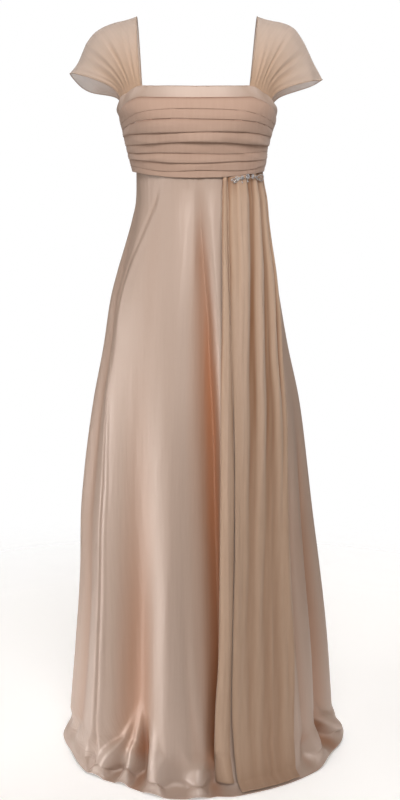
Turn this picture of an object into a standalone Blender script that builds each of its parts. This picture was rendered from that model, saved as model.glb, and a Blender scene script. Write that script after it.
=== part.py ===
"""A full-length empire gown, filled out as it is worn: a satin bodice with a pleated chiffon front,
chiffon cap sleeves, a flared satin skirt that breaks on the floor, and a chiffon drape that hangs
from a jewelled trim at the left of the front. Metres, +Z up, the front faces -Y.
The origin is midway between the tops of the two sleeves, where the shoulders carry the gown.

A point on the gown is named by its turn, in degrees round the body from the centre front
(positive towards +X, the wearer's left), and by its height, which is negative below the shoulders."""

import math
from collections import namedtuple

import bmesh
import bpy
from mathutils import Vector

# Driving sizes
SHOULDER_TO_FLOOR = 1.48
FLOOR = -SHOULDER_TO_FLOOR
SATIN = 0.002
CHIFFON = 0.0012
SEAM_GAP = 0.0003
BREAK_HEIGHT = 0.075
NECK_BAND = 0.024
RUCHING_GAP = 0.0013
DRAPE_GAP = 0.0010
SEAM_ALLOWANCE = 0.010
SLEEVE_GAP = 0.0012

# Mesh steps
SKIRT_COLUMNS = 80
SKIRT_ROWS = 11
BODICE_COLUMNS = 24
BODICE_ROWS = 11
BACK_COLUMNS = 12
DRAPE_COLUMNS = 20
TAIL_COLUMNS = 4
SLEEVE_COLUMNS = 17

# Half widths towards -X and +X, and depths in front and behind, at each height
Section = namedtuple("Section", "height minus_x plus_x front back")
BODICE_SECTIONS = (
    Section(-0.312, 0.1185, 0.1310, 0.0980, 0.0825),
    Section(-0.300, 0.1210, 0.1335, 0.1000, 0.0840),
    Section(-0.278, 0.1270, 0.1390, 0.1050, 0.0865),
    Section(-0.251, 0.1330, 0.1420, 0.1130, 0.0890),
    Section(-0.224, 0.1395, 0.1495, 0.1215, 0.0910),
    Section(-0.196, 0.1475, 0.1590, 0.1250, 0.0920),
    Section(-0.176, 0.1550, 0.1630, 0.1220, 0.0920),
    Section(-0.160, 0.1550, 0.1585, 0.1160, 0.0915),
    Section(-0.130, 0.1500, 0.1530, 0.1040, 0.0905),
)
SKIRT_SECTIONS = (
    Section(-1.480, 0.2660, 0.2880, 0.2640, 0.2600),
    Section(-1.405, 0.2600, 0.2830, 0.2590, 0.2550),
    Section(-1.281, 0.2490, 0.2730, 0.2450, 0.2420),
    Section(-1.103, 0.2370, 0.2515, 0.2230, 0.2180),
    Section(-1.005, 0.2345, 0.2395, 0.2100, 0.2050),
    Section(-0.899, 0.2250, 0.2275, 0.1940, 0.1900),
    Section(-0.758, 0.2060, 0.2105, 0.1700, 0.1700),
    Section(-0.643, 0.1840, 0.1880, 0.1480, 0.1520),
    Section(-0.549, 0.1690, 0.1715, 0.1320, 0.1350),
    Section(-0.492, 0.1545, 0.1610, 0.1220, 0.1220),
    Section(-0.432, 0.1365, 0.1490, 0.1120, 0.1050),
    Section(-0.392, 0.1255, 0.1425, 0.1060, 0.0950),
    Section(-0.353, 0.1175, 0.1380, 0.1010, 0.0870),
    Section(-0.325, 0.1165, 0.1330, 0.0990, 0.0835),
    Section(-0.296, 0.1165, 0.1295, 0.0985, 0.0835),
)
# The hem where it lies on the floor
HEM = Section(FLOOR, 0.2815, 0.3155, 0.3120, 0.2950)

# Cut edges that run round the body: height at each turn, the same on both sides
EdgePoint = namedtuple("EdgePoint", "turn height")
TOP_EDGE = (
    EdgePoint(0, -0.1380),
    EdgePoint(28, -0.1370),
    EdgePoint(41, -0.1355),
    EdgePoint(50, -0.1395),
    EdgePoint(61, -0.1490),
    EdgePoint(70, -0.1585),
    EdgePoint(78, -0.1685),
    EdgePoint(90, -0.1800),
    EdgePoint(104, -0.1790),
    EdgePoint(121, -0.1640),
    EdgePoint(137, -0.1530),
    EdgePoint(150, -0.1500),
    EdgePoint(180, -0.1500),
)
UNDERBUST_SEAM = (
    EdgePoint(0, -0.3090),
    EdgePoint(20, -0.3080),
    EdgePoint(45, -0.3030),
    EdgePoint(90, -0.2960),
    EdgePoint(180, -0.3000),
)

# The bust: how far the cups stand out, and where
CUP_TURN = 34
CUP_HEIGHT = -0.193
CUP_SPREAD_TURN = 22
CUP_SPREAD_HEIGHT = 0.036
CUP_RISE = 0.009

# Lower edges of the chiffon's cross pleats, at the centre front and at the side seams, from the
# top. The panel's own top edge, above them, follows the neck band.
CrossPleat = namedtuple("CrossPleat", "centre side rise")
CROSS_PLEATS = (
    CrossPleat(-0.183, -0.207, 0.0026),
    CrossPleat(-0.199, -0.218, 0.0022),
    CrossPleat(-0.221, -0.230, 0.0034),
    CrossPleat(-0.241, -0.245, 0.0038),
    CrossPleat(-0.261, -0.258, 0.0036),
    CrossPleat(-0.279, -0.272, 0.0032),
    CrossPleat(-0.295, -0.284, 0.0026),
    CrossPleat(-0.309, -0.296, 0.0024),
)
# How the cloth climbs across one pleat: share of the way down, share of its rise
PLEAT_PROFILE = ((0.0, 0.0), (0.40, 0.55), (0.86, 1.0))
# Share of its rise that a pleat keeps at the side seams, where it is sewn down
PLEAT_SIDE_RISE = 0.45

# Share of the way down at which the skirt's folds reach their full rise
FOLDS_FULL = 0.8

# Skirt folds: turn at the waist and at the hem, half width in degrees, rise at the hem
# (negative sinks), and the height from which the fold grows
Fold = namedtuple("Fold", "name waist_turn hem_turn half_width rise start")
SKIRT_FOLDS = (
    Fold("right side ridge", -86, -84, 8, 0.0080, -0.36),
    Fold("right side hollow", -72, -70, 7, -0.0130, -0.33),
    Fold("right pressed ridge", -48, -59, 5, 0.0095, -0.31),
    Fold("right pressed crease", -40, -52, 3.5, -0.0100, -0.31),
    Fold("right front swell", -34, -38, 9, 0.0040, -0.40),
    Fold("front ridge", -20, -22, 7, 0.0140, -0.36),
    Fold("front hollow", -3, 3, 10, -0.0180, -0.34),
    Fold("drape side ridge", 13, 11, 4.5, 0.0110, -0.33),
    Fold("under drape hollow", 34, 26, 11, -0.0070, -0.60),
    Fold("left front ridge", 66, 56, 8, 0.0080, -0.60),
    Fold("left hollow", 78, 67, 6, -0.0110, -0.62),
    Fold("left side ridge", 88, 80, 7, 0.0110, -0.50),
    Fold("left back hollow", 104, 98, 8, -0.0130, -0.45),
    Fold("left back ridge", 118, 112, 8, 0.0140, -0.40),
    Fold("left seat hollow", 133, 130, 8, -0.0150, -0.42),
    Fold("left centre ridge", 149, 146, 8, 0.0150, -0.36),
    Fold("left centre hollow", 166, 163, 8, -0.0140, -0.38),
    Fold("centre back ridge", 180, 181, 8, 0.0100, -0.42),
    Fold("right centre hollow", 196, 199, 8, -0.0140, -0.37),
    Fold("right centre ridge", 212, 216, 8, 0.0150, -0.36),
    Fold("right seat hollow", 228, 233, 8, -0.0150, -0.41),
    Fold("right back ridge", 243, 249, 8, 0.0130, -0.40),
    Fold("right back hollow", 257, 262, 7, -0.0110, -0.46),
)

# The skirt's foot, where it breaks: share of the way down the break, share of the spread, height
BreakStep = namedtuple("BreakStep", "share out height")
BREAK_STEPS = (
    BreakStep(0.00, 0.00, BREAK_HEIGHT),
    BreakStep(0.28, 0.08, 0.046),
    BreakStep(0.52, 0.17, 0.021),
    BreakStep(0.72, 0.32, 0.0070),
    BreakStep(0.86, 0.60, SATIN + 0.0008),
    BreakStep(1.00, 1.00, SATIN),
)

# How much of the folds is left in the hem's edge
HEM_FOLLOWS = 0.35

# The chiffon drape and its narrow tail: turns of their edges at each height. The near edges are
# the ones towards the centre front.
DrapeEdge = namedtuple("DrapeEdge", "height tail_near tail_far drape_near drape_far")
DRAPE_EDGES = (
    DrapeEdge(-1.480, 11.0, 16.6, 17.8, 45.0),
    DrapeEdge(-1.410, 7.8, 13.8, 15.8, 45.0),
    DrapeEdge(-1.335, 8.2, 14.9, 15.6, 45.2),
    DrapeEdge(-1.220, 10.0, 16.0, 16.5, 45.8),
    DrapeEdge(-1.030, 11.4, 18.0, 18.5, 48.5),
    DrapeEdge(-0.740, 13.4, 20.2, 20.7, 58.0),
    DrapeEdge(-0.549, 17.4, 22.8, 23.4, 72.0),
    DrapeEdge(-0.450, 19.6, 25.0, 25.7, 80.0),
    DrapeEdge(-0.353, 22.2, 27.0, 27.8, 86.0),
    DrapeEdge(-0.290, 24.6, 28.6, 29.6, 88.0),
)
# How far down each one ends: 1 is the top of the skirt's break and 2 the edge of its hem
TAIL_END = 1.62
DRAPE_END = 1.86
# Share of their rise that the pleats have at the trim, where they are drawn in, how far down they
# reach all of it, and the share left where they lie on the floor
DRAPE_HEAD_RISE = 0.45
DRAPE_HEAD_LENGTH = 1 / 6
DRAPE_FOOT_RISE = 0.35
TAIL_HEAD_RISE = 0.0022
TAIL_RISE = 0.0050
TAIL_FOOT_RISE = 0.4

# Pleats of the drape: where each ridge lies across it, from 0 at its near edge to 1, and its size
DrapePleat = namedtuple("DrapePleat", "top_share hem_share half_width rise")
DRAPE_PLEATS = (
    DrapePleat(0.07, 0.06, 0.085, 0.0050),
    DrapePleat(0.28, 0.20, 0.085, 0.0075),
    DrapePleat(0.50, 0.42, 0.095, 0.0090),
    DrapePleat(0.73, 0.66, 0.090, 0.0070),
    DrapePleat(0.93, 0.93, 0.075, 0.0055),
)

# The sleeve over the top of the shoulder, from its neck edge (0) to its hem (1)
SleeveTop = namedtuple("SleeveTop", "share minus_x minus_z plus_x plus_z")
SLEEVE_TOPS = (
    SleeveTop(0.00, -0.1135, 0.0000, 0.1215, 0.0000),
    SleeveTop(0.14, -0.1330, -0.0060, 0.1440, -0.0065),
    SleeveTop(0.30, -0.1600, -0.0125, 0.1700, -0.0115),
    SleeveTop(0.46, -0.1900, -0.0260, 0.1915, -0.0205),
    SleeveTop(0.62, -0.2110, -0.0480, 0.2120, -0.0460),
    SleeveTop(0.82, -0.2300, -0.0870, 0.2325, -0.0865),
    SleeveTop(1.00, -0.2455, -0.1070, 0.2490, -0.1200),
)
# Turns between which each end of a sleeve is gathered; behind, they are taken from the centre back
SLEEVE_TURNS = (43.5, 73.0)
SLEEVE_PLEATS = 5
SLEEVE_PLEAT_RISE = 0.0040
SLEEVE_PLEAT_FADE = 0.80
SLEEVE_HALF_STEPS = (0.0, 0.004, 0.035, 0.09, 0.16, 0.24, 0.33, 0.42)
# How evenly a sleeve climbs and spreads from its gathers to its top, at its neck edge and its hem
SLEEVE_CLIMB = (0.80, 0.50)
SLEEVE_SPREAD = (0.60, 1.25)
# How far its hem stands off in front and behind, how far back its top lies, and how far the back
# half of each hem hangs below the front half
SLEEVE_BILLOW = 0.024
SLEEVE_BACK_SET = 0.012
RIGHT_SLEEVE_DROOP = 0.022
LEFT_SLEEVE_DROOP = 0.006

# The jewelled trim at the head of the drape
TRIM_TURNS = (30.0, 84.0)
TRIM_HEIGHT = 0.0135
TRIM_DROP = 0.0065
TRIM_STAND_OFF = 0.0082
TRIM_THICKNESS = 0.0014
TRIM_TIP = 0.35
TRIM_COLUMNS = 14
STONE_SIDES = 8
STONE_TABLE = 0.55
STONE_HEIGHT = 0.9
STONE_SUNK = 0.4
Stone = namedtuple("Stone", "share up radius")
TRIM_STONES = (
    Stone(0.12, 0.0000, 0.0019),
    Stone(0.22, -0.0004, 0.0023),
    Stone(0.33, 0.0012, 0.0028),
    Stone(0.43, -0.0012, 0.0030),
    Stone(0.53, 0.0012, 0.0033),
    Stone(0.63, -0.0012, 0.0030),
    Stone(0.73, 0.0010, 0.0028),
    Stone(0.82, -0.0004, 0.0023),
    Stone(0.90, 0.0000, 0.0019),
)

# The concealed zip's slider and pull at the top of the centre back seam
ZIP_HEIGHT = -0.1560
SLIDER_SIZE = (0.0050, 0.0018, 0.0090)
EAR_SIZE = (0.0008, 0.0030, 0.0038)
PULL_BAR_RADIUS = 0.0006
PULL_BAR_STAND_OFF = 0.0045
PULL_EYE_BORE = 0.00095
PULL_EYE_RADIUS = 0.0017
PULL_EYE_WIDTH = 0.0026
PULL_STEM_HEIGHT = 0.0040
PULL_OVERLAP = 0.0005
PULL_BLADE = (0.0048, 0.0010, 0.0220)


def smooth_between(rows, key, column, at):
    """The named column at a place between two rows, on a curve with no overshoot."""
    keys = [getattr(row, key) for row in rows]
    values = [getattr(row, column) for row in rows]
    if at <= keys[0]:
        return values[0]
    if at >= keys[-1]:
        return values[-1]
    slopes = [(values[i + 1] - values[i]) / (keys[i + 1] - keys[i]) for i in range(len(keys) - 1)]

    def tangent(i):
        if i in (0, len(keys) - 1):
            return slopes[0] if i == 0 else slopes[-1]
        before, after = slopes[i - 1], slopes[i]
        return 2 * before * after / (before + after) if before * after > 0 else 0.0

    i = max(j for j in range(len(keys) - 1) if keys[j] <= at)
    span = keys[i + 1] - keys[i]
    t = (at - keys[i]) / span
    return (
        values[i] * (1 + 2 * t) * (1 - t) ** 2
        + values[i + 1] * t * t * (3 - 2 * t)
        + span * tangent(i) * t * (1 - t) ** 2
        - span * tangent(i + 1) * t * t * (1 - t)
    )


def edge_height(edge, turn):
    """Height of a cut edge at a turn; the edges are the same on both sides of the body."""
    folded = abs((turn + 180) % 360 - 180)
    return smooth_between(edge, "turn", "height", folded)


def mix(first, last, share):
    return first + (last - first) * share


def steps(first, last, count):
    return [mix(first, last, i / count) for i in range(count + 1)]


def hump(distance, half_width):
    """1 at the middle of a fold, falling softly to 0 at twice its half width."""
    x = abs(distance) / (2 * half_width)
    return (1 - x * x) ** 2 if x < 1 else 0.0


def grown(height, start, end):
    """0 at start, 1 at end, smooth between."""
    share = min(1.0, max(0.0, (height - start) / (end - start)))
    return share * share * (3 - 2 * share)


def section_at(sections, height):
    columns = (smooth_between(sections, "height", c, height) for c in Section._fields[1:])
    return Section(height, *columns)


def on_section(section, turn):
    """The point of a section at a turn, and the outward direction there, level."""
    angle = math.radians(turn)
    wide = section.plus_x if math.sin(angle) > 0 else section.minus_x
    deep = section.front if math.cos(angle) > 0 else section.back
    point = Vector((wide * math.sin(angle), -deep * math.cos(angle), section.height))
    outward = Vector((math.sin(angle) / wide, -math.cos(angle) / deep, 0)).normalized()
    return point, outward


def bodice_point(turn, height):
    """The outer face of the satin bodice."""
    point, outward = on_section(section_at(BODICE_SECTIONS, height), turn)
    folded = abs((turn + 180) % 360 - 180)
    across = (folded - CUP_TURN) / CUP_SPREAD_TURN
    up = (height - CUP_HEIGHT) / CUP_SPREAD_HEIGHT
    return point + outward * (CUP_RISE * math.exp(-across * across - up * up))


def skirt_fold(turn, height):
    """How far the skirt's folds stand out from its section."""
    share = (height - UNDERBUST_SEAM[0].height) / (FLOOR - UNDERBUST_SEAM[0].height)
    total = 0.0
    for fold in SKIRT_FOLDS:
        middle = mix(fold.waist_turn, fold.hem_turn, share)
        distance = (turn - middle + 180) % 360 - 180
        growth = grown(height, fold.start, FLOOR * FOLDS_FULL)
        total += fold.rise * growth * hump(distance, fold.half_width)
    return total


def skirt_point(turn, down):
    """The outer face of the satin skirt: down runs 0 to 1 from the seam to the break, and on to 2
    at the hem's edge, which lies on the floor."""
    if down <= 1:
        height = mix(edge_height(UNDERBUST_SEAM, turn) - SEAM_GAP, FLOOR + BREAK_HEIGHT, down)
        point, outward = on_section(section_at(SKIRT_SECTIONS, height), turn)
        return point + outward * skirt_fold(turn, height)
    wall = skirt_point(turn, 1.0)
    hem, outward = on_section(HEM, turn)
    hem += outward * (skirt_fold(turn, FLOOR) * HEM_FOLLOWS)
    out = smooth_between(BREAK_STEPS, "share", "out", down - 1)
    height = smooth_between(BREAK_STEPS, "share", "height", down - 1)
    return Vector((mix(wall.x, hem.x, out), mix(wall.y, hem.y, out), FLOOR + height))


def facing(surface, across, along, outwards):
    """The surface's unit normal, turned to the side that outwards points to."""
    step = 1e-3
    span_across = surface(across + step * 20, along) - surface(across - step * 20, along)
    span_along = surface(across, along + step) - surface(across, along - step)
    normal = span_across.cross(span_along).normalized()
    return normal if normal.dot(outwards) > 0 else -normal


def level_outwards(turn):
    angle = math.radians(turn)
    return Vector((math.sin(angle), -math.cos(angle), 0.25))


def bodice_offset(turn, height, out):
    normal = facing(bodice_point, turn, height, level_outwards(turn))
    return bodice_point(turn, height) + normal * out


def skirt_offset(turn, down, out):
    """A point on the skirt moved out along its own normal. The ends are looked at from inside."""
    inner = min(max(down, 0.002), 1.998)
    normal = facing(skirt_point, turn, inner, level_outwards(turn))
    if down > 1.85:
        normal = Vector((0, 0, 1))
    return skirt_point(turn, down) + normal * out


def make_material(name, colour, roughness, metallic=0.0):
    material = bpy.data.materials.new(name)
    material.use_nodes = True
    shader = material.node_tree.nodes["Principled BSDF"]
    shader.inputs["Base Color"].default_value = (*colour, 1.0)
    shader.inputs["Roughness"].default_value = roughness
    shader.inputs["Metallic"].default_value = metallic
    return material


def add_object(name, mesh, material):
    """Turns a finished bmesh into a named object."""
    data = bpy.data.meshes.new(name)
    mesh.to_mesh(data)
    mesh.free()
    data.materials.append(material)
    made = bpy.data.objects.new(name, data)
    bpy.context.scene.collection.objects.link(made)
    return made


def cloth_wall(name, outer, inner, material):
    """A closed wall of cloth between two faces, each a list of rows of points. Both faces are cut
    into triangles the same way, so the wall keeps its thickness on a twisted stretch."""
    mesh = bmesh.new()
    rows, columns = len(outer), len(outer[0])
    faces = [[[mesh.verts.new(point) for point in row] for row in face] for face in (outer, inner)]
    for side in faces:
        for r in range(rows - 1):
            for c in range(columns - 1):
                a, b = side[r][c], side[r][c + 1]
                d, e = side[r + 1][c + 1], side[r + 1][c]
                mesh.faces.new((a, b, d))
                mesh.faces.new((a, d, e))
    border = (
        [(0, c) for c in range(columns - 1)]
        + [(r, columns - 1) for r in range(rows - 1)]
        + [(rows - 1, c) for c in range(columns - 1, 0, -1)]
        + [(r, 0) for r in range(rows - 1, 0, -1)]
    )
    for (r, c), (next_r, next_c) in zip(border, border[1:] + border[:1]):
        a, b = faces[0][r][c], faces[0][next_r][next_c]
        d, e = faces[1][next_r][next_c], faces[1][r][c]
        mesh.faces.new((a, b, d))
        mesh.faces.new((a, d, e))
    bmesh.ops.recalc_face_normals(mesh, faces=mesh.faces)
    made = add_object(name, mesh, material)
    made.data.shade_smooth()
    made.data.set_sharp_from_angle(angle=math.radians(50))
    return made


def seam_turns(first, last, columns, sections):
    """Turns across a panel whose side edges stop half a seam gap short of its seams."""
    wide = min(min(s.minus_x, s.plus_x) for s in sections)
    short = math.degrees(SEAM_GAP / 2 / wide) * 1.2
    return steps(first + short, last - short, columns)


def bodice_panel(name, first, last, columns, rows, material):
    """A satin bodice panel from the underbust seam to the top edge."""
    turns = seam_turns(first, last, columns, BODICE_SECTIONS)
    faces = ([], [])
    for share in steps(0, 1, rows):
        for face, out in zip(faces, (0.0, -SATIN)):
            face.append(
                [
                    bodice_offset(
                        turn,
                        mix(edge_height(UNDERBUST_SEAM, turn), edge_height(TOP_EDGE, turn), share),
                        out,
                    )
                    for turn in turns
                ]
            )
    return cloth_wall(name, *faces, material)


def pleat_line(index, turn):
    """Height of a cross pleat's lower edge at a turn; line 0 is the panel's top edge."""
    if index == 0:
        return edge_height(TOP_EDGE, turn) - NECK_BAND
    pleat = CROSS_PLEATS[index - 1]
    if index == len(CROSS_PLEATS):
        return edge_height(UNDERBUST_SEAM, turn)
    return mix(pleat.centre, pleat.side, abs(math.sin(math.radians(turn))) ** 4)


def ruched_front(material):
    """The pleated chiffon over the front: the pleats rise from its outer face, as overlapping
    tucks do, over a plain inside."""
    turns = seam_turns(-90, 90, BODICE_COLUMNS, BODICE_SECTIONS)
    outer, inner = [], []
    for index, pleat in enumerate(CROSS_PLEATS):
        for share, climb in PLEAT_PROFILE:
            rows = ([], [])
            for turn in turns:
                height = mix(pleat_line(index, turn), pleat_line(index + 1, turn), share)
                gathered = mix(1.0, PLEAT_SIDE_RISE, abs(math.sin(math.radians(turn))) ** 6)
                lift = RUCHING_GAP + CHIFFON + pleat.rise * climb * gathered
                rows[0].append(bodice_offset(turn, height, lift))
                rows[1].append(bodice_offset(turn, height, RUCHING_GAP))
            outer.append(rows[0])
            inner.append(rows[1])
    lowest = len(CROSS_PLEATS)
    outer.append([bodice_offset(t, pleat_line(lowest, t), RUCHING_GAP + CHIFFON) for t in turns])
    inner.append([bodice_offset(t, pleat_line(lowest, t), RUCHING_GAP) for t in turns])
    return cloth_wall("ruched_front", outer, inner, material)


def skirt_downs():
    """Rows of the skirt, closer together at the waist and at the break."""
    wall = [share**1.15 for share in steps(0, 1, SKIRT_ROWS)]
    return wall + [1 + step.share for step in BREAK_STEPS[1:]]


def skirt_panel(name, first, last, material):
    columns = round(SKIRT_COLUMNS * (last - first) / 360)
    turns = seam_turns(first, last, columns, SKIRT_SECTIONS)
    outer = [[skirt_point(turn, down) for turn in turns] for down in skirt_downs()]
    inner = [[skirt_offset(turn, down, -SATIN) for turn in turns] for down in skirt_downs()]
    return cloth_wall(name, outer, inner, material)


def drape_turn(across, down, near, far):
    """The turn at a share of the way across the drape or its tail."""
    if down <= 1:
        height = mix(UNDERBUST_SEAM[1].height, FLOOR + BREAK_HEIGHT, down)
    else:
        height = mix(FLOOR + BREAK_HEIGHT, FLOOR, down - 1)
    first = smooth_between(DRAPE_EDGES, "height", near, height)
    last = smooth_between(DRAPE_EDGES, "height", far, height)
    return mix(first, last, across)


def drape_rise(across, down):
    """How far the drape's pleats stand off the skirt. They are drawn in at the jewelled trim."""
    total = 0.0
    for pleat in DRAPE_PLEATS:
        middle = mix(pleat.top_share, pleat.hem_share, min(1.0, down))
        total += pleat.rise * hump(across - middle, pleat.half_width)
    drawn_in = mix(DRAPE_HEAD_RISE, 1.0, min(1.0, down / DRAPE_HEAD_LENGTH))
    return total * drawn_in * mix(1.0, DRAPE_FOOT_RISE, max(0.0, down - 1))


def tail_rise(across, down):
    """The tail is a strip folded along its middle, so it stands out most there."""
    swell = mix(TAIL_HEAD_RISE, TAIL_RISE, min(1.0, down * 2))
    return swell * math.sin(math.pi * across) * mix(1.0, TAIL_FOOT_RISE, max(0.0, down - 1))


def hanging_panel(name, near, far, columns, end, rise, material):
    """A chiffon panel that hangs over the skirt: the skirt's points, moved out."""

    def surface(across, down, sunk=0.0):
        turn = drape_turn(across, down, near, far)
        point = skirt_offset(turn, down, DRAPE_GAP + CHIFFON - sunk + rise(across, down))
        point.z = min(point.z, edge_height(UNDERBUST_SEAM, turn) - 3 * SEAM_GAP)
        return point

    downs = [down for down in skirt_downs() if down < end - 0.05] + [end]
    outer, inner = [], []
    for down in downs:
        outer.append([surface(across, down) for across in steps(0, 1, columns)])
        row = []
        for across, point in zip(steps(0, 1, columns), outer[-1]):
            side = surface(min(across + 0.02, 1), down) - surface(max(across - 0.02, 0), down)
            fall = surface(across, min(down + 0.01, end)) - surface(across, max(down - 0.01, 0.002))
            normal = side.cross(fall).normalized()
            outwards = level_outwards(drape_turn(across, down, near, far))
            inside = point - normal * (CHIFFON if normal.dot(outwards) > 0 else -CHIFFON)
            inside.z = min(inside.z, edge_height(UNDERBUST_SEAM, 90) - 3 * SEAM_GAP)
            row.append(surface(across, down, CHIFFON) if down == downs[0] else inside)
        inner.append(row)
    return cloth_wall(name, outer, inner, material)


def sleeve_arch(side, share, along):
    """A sleeve as it springs from inside the bodice's top edge in front (along 0), over the
    shoulder, to the same place behind (along 1). side is -1 or 1, towards -X or +X, and share
    runs from the neck edge to the sleeve's hem."""
    turn = mix(*SLEEVE_TURNS, share)
    drop = -(SATIN + SLEEVE_GAP)
    front = bodice_offset(side * turn, edge_height(TOP_EDGE, turn), drop)
    back = bodice_offset(side * (180 - turn), edge_height(TOP_EDGE, 180 - turn), drop)
    columns = ("minus_x", "minus_z") if side < 0 else ("plus_x", "plus_z")
    top_x, top_z = (smooth_between(SLEEVE_TOPS, "share", column, share) for column in columns)
    phase = math.pi * min(max(along, 0.0), 1.0)
    rise = math.sin(phase)
    base = front.lerp(back, (1 - math.cos(phase)) / 2)
    up = rise ** mix(*SLEEVE_CLIMB, share)
    out = rise ** mix(*SLEEVE_SPREAD, share)
    bulge = -SLEEVE_BILLOW * share * math.sin(2 * phase) + SLEEVE_BACK_SET * rise
    behind = max(0.0, -math.sin(2 * phase))
    droop = (RIGHT_SLEEVE_DROOP if side < 0 else LEFT_SLEEVE_DROOP) * share**3 * behind**1.5
    return Vector((mix(base.x, top_x, out), base.y + bulge, mix(base.z, top_z, up) - droop))


def sleeve_normal(side, share, along):
    step = 2e-3
    near, far = max(share - step * 5, 0.0), min(share + step * 5, 1.0)
    across = sleeve_arch(side, far, along) - sleeve_arch(side, near, along)
    before, after = max(along - step, 0.0), min(along + step, 1.0)
    over = sleeve_arch(side, share, after) - sleeve_arch(side, share, before)
    normal = across.cross(over).normalized()
    outwards = sleeve_arch(side, share, along) - Vector((side * 0.12, 0.0, -0.15))
    return normal if normal.dot(outwards) > 0 else -normal


def sleeve_point(side, share, along):
    """The sleeve with its pleats, which fan out from the gathers and fade over the shoulder."""
    rise = math.sin(math.pi * along)
    fan = SLEEVE_PLEAT_RISE * rise**0.6 * (1 - SLEEVE_PLEAT_FADE * rise**3)
    wave = 0.5 - 0.5 * math.cos(2 * math.pi * SLEEVE_PLEATS * share**0.9)
    normal = sleeve_normal(side, share, min(max(along, 0.004), 0.996))
    return sleeve_arch(side, share, along) - normal * (fan * wave)


def sleeve(name, side, material):
    """A cap sleeve, with a seam allowance that runs down inside the bodice at both ends."""
    shares = steps(0, 1, SLEEVE_COLUMNS)
    half = list(SLEEVE_HALF_STEPS)
    alongs = half + [0.5] + [1 - along for along in reversed(half)]
    outer, inner = [], []

    def allowance(flip):
        rows = ([], [])
        for share in shares:
            turn = mix(*SLEEVE_TURNS, share)
            turn = 180 - turn if flip else turn
            height = edge_height(TOP_EDGE, turn) - SEAM_ALLOWANCE
            for row, out in zip(rows, (0.0, -CHIFFON)):
                row.append(bodice_offset(side * turn, height, out - SATIN - SLEEVE_GAP))
        return rows

    def add(rows):
        outer.append(rows[0])
        inner.append(rows[1])

    add(allowance(False))
    for along in alongs:
        rows = ([], [])
        for share in shares:
            point = sleeve_point(side, share, along)
            if along in (0.0, 1.0):
                turn = mix(*SLEEVE_TURNS, share)
                turn = turn if along == 0.0 else 180 - turn
                normal = facing(bodice_point, side * turn, edge_height(TOP_EDGE, turn),
                                level_outwards(side * turn))
            else:
                normal = sleeve_normal(side, share, along)
            rows[0].append(point)
            rows[1].append(point - normal * CHIFFON)
        add(rows)
    add(allowance(True))
    return cloth_wall(name, outer, inner, material)


def trim_place(share, up, out):
    """A place on the jewelled trim, which lies on the head of the drape."""
    turn = mix(*TRIM_TURNS, share)
    height = edge_height(UNDERBUST_SEAM, turn) - TRIM_DROP + up
    point, outward = on_section(section_at(BODICE_SECTIONS, height), turn)
    return point + outward * out


def jewelled_trim(metal):
    """A slim leaf-shaped backing along the seam, with cut stones standing on it."""
    outer, inner = [], []
    rim_shares = steps(-1, 1, 4)
    for share in steps(0, 1, TRIM_COLUMNS):
        half = TRIM_HEIGHT / 2 * math.sqrt(max(TRIM_TIP**2, 1 - (2 * share - 1) ** 2))
        outer.append([trim_place(share, r * half, TRIM_STAND_OFF + TRIM_THICKNESS) for r in rim_shares])
        inner.append([trim_place(share, r * half, TRIM_STAND_OFF) for r in rim_shares])
    plate = cloth_wall("jewelled_trim", outer, inner, metal)
    for stone in TRIM_STONES:
        mesh = bmesh.new()
        depth = TRIM_THICKNESS + stone.radius * STONE_HEIGHT
        bmesh.ops.create_cone(
            mesh,
            cap_ends=True,
            segments=STONE_SIDES,
            radius1=stone.radius,
            radius2=stone.radius * STONE_TABLE,
            depth=depth,
        )
        cut = add_object(f"stone at {stone.share}", mesh, metal)
        middle = TRIM_STAND_OFF + depth / 2 + TRIM_THICKNESS * STONE_SUNK
        centre = trim_place(stone.share, stone.up, middle)
        outward = trim_place(stone.share, stone.up, 1.0) - trim_place(stone.share, stone.up, 0.0)
        cut.location = centre
        cut.rotation_mode = "QUATERNION"
        cut.rotation_quaternion = outward.to_track_quat("Z", "Y")
        combine(plate, cut, "UNION")


def block(name, size, centre, material):
    mesh = bmesh.new()
    bmesh.ops.create_cube(mesh, size=1.0)
    bmesh.ops.scale(mesh, vec=size, verts=mesh.verts)
    bmesh.ops.translate(mesh, vec=centre, verts=mesh.verts)
    return add_object(name, mesh, material)


def rod(name, radius, length, centre, material, segments=16):
    """A round rod along X."""
    mesh = bmesh.new()
    bmesh.ops.create_cone(
        mesh, cap_ends=True, segments=segments, radius1=radius, radius2=radius, depth=length
    )
    bmesh.ops.rotate(
        mesh,
        verts=mesh.verts,
        matrix=Vector((0, 0, 1)).rotation_difference(Vector((1, 0, 0))).to_matrix(),
    )
    bmesh.ops.translate(mesh, vec=centre, verts=mesh.verts)
    return add_object(name, mesh, material)


def combine(target, tool, operation):
    tool.hide_render = True
    tool.display_type = "WIRE"
    modifier = target.modifiers.new(tool.name, "BOOLEAN")
    modifier.operation = operation
    modifier.object = tool


def zip_slider(metal):
    """The slider sits on the centre back seam, with two ears that hold the pull's bar."""
    ear_thickness, ear_reach, ear_height = EAR_SIZE
    back = bodice_point(180, ZIP_HEIGHT).y
    middle = back + 2 * SEAM_GAP + SLIDER_SIZE[1] / 2
    body = block("zip_slider", SLIDER_SIZE, (0, middle, ZIP_HEIGHT), metal)
    reach = ear_reach + SLIDER_SIZE[1] / 2
    aside = PULL_EYE_WIDTH / 2 + SEAM_GAP + ear_thickness / 2
    for side in (-1, 1):
        place = (side * aside, middle + reach / 2, ZIP_HEIGHT)
        combine(body, block(f"ear {side}", (ear_thickness, reach, ear_height), place, metal), "UNION")
    bar_y = back + PULL_BAR_STAND_OFF
    bar = rod("pull bar", PULL_BAR_RADIUS, 2 * aside, (0, bar_y, ZIP_HEIGHT), metal)
    combine(body, bar, "UNION")
    return bar_y


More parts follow.
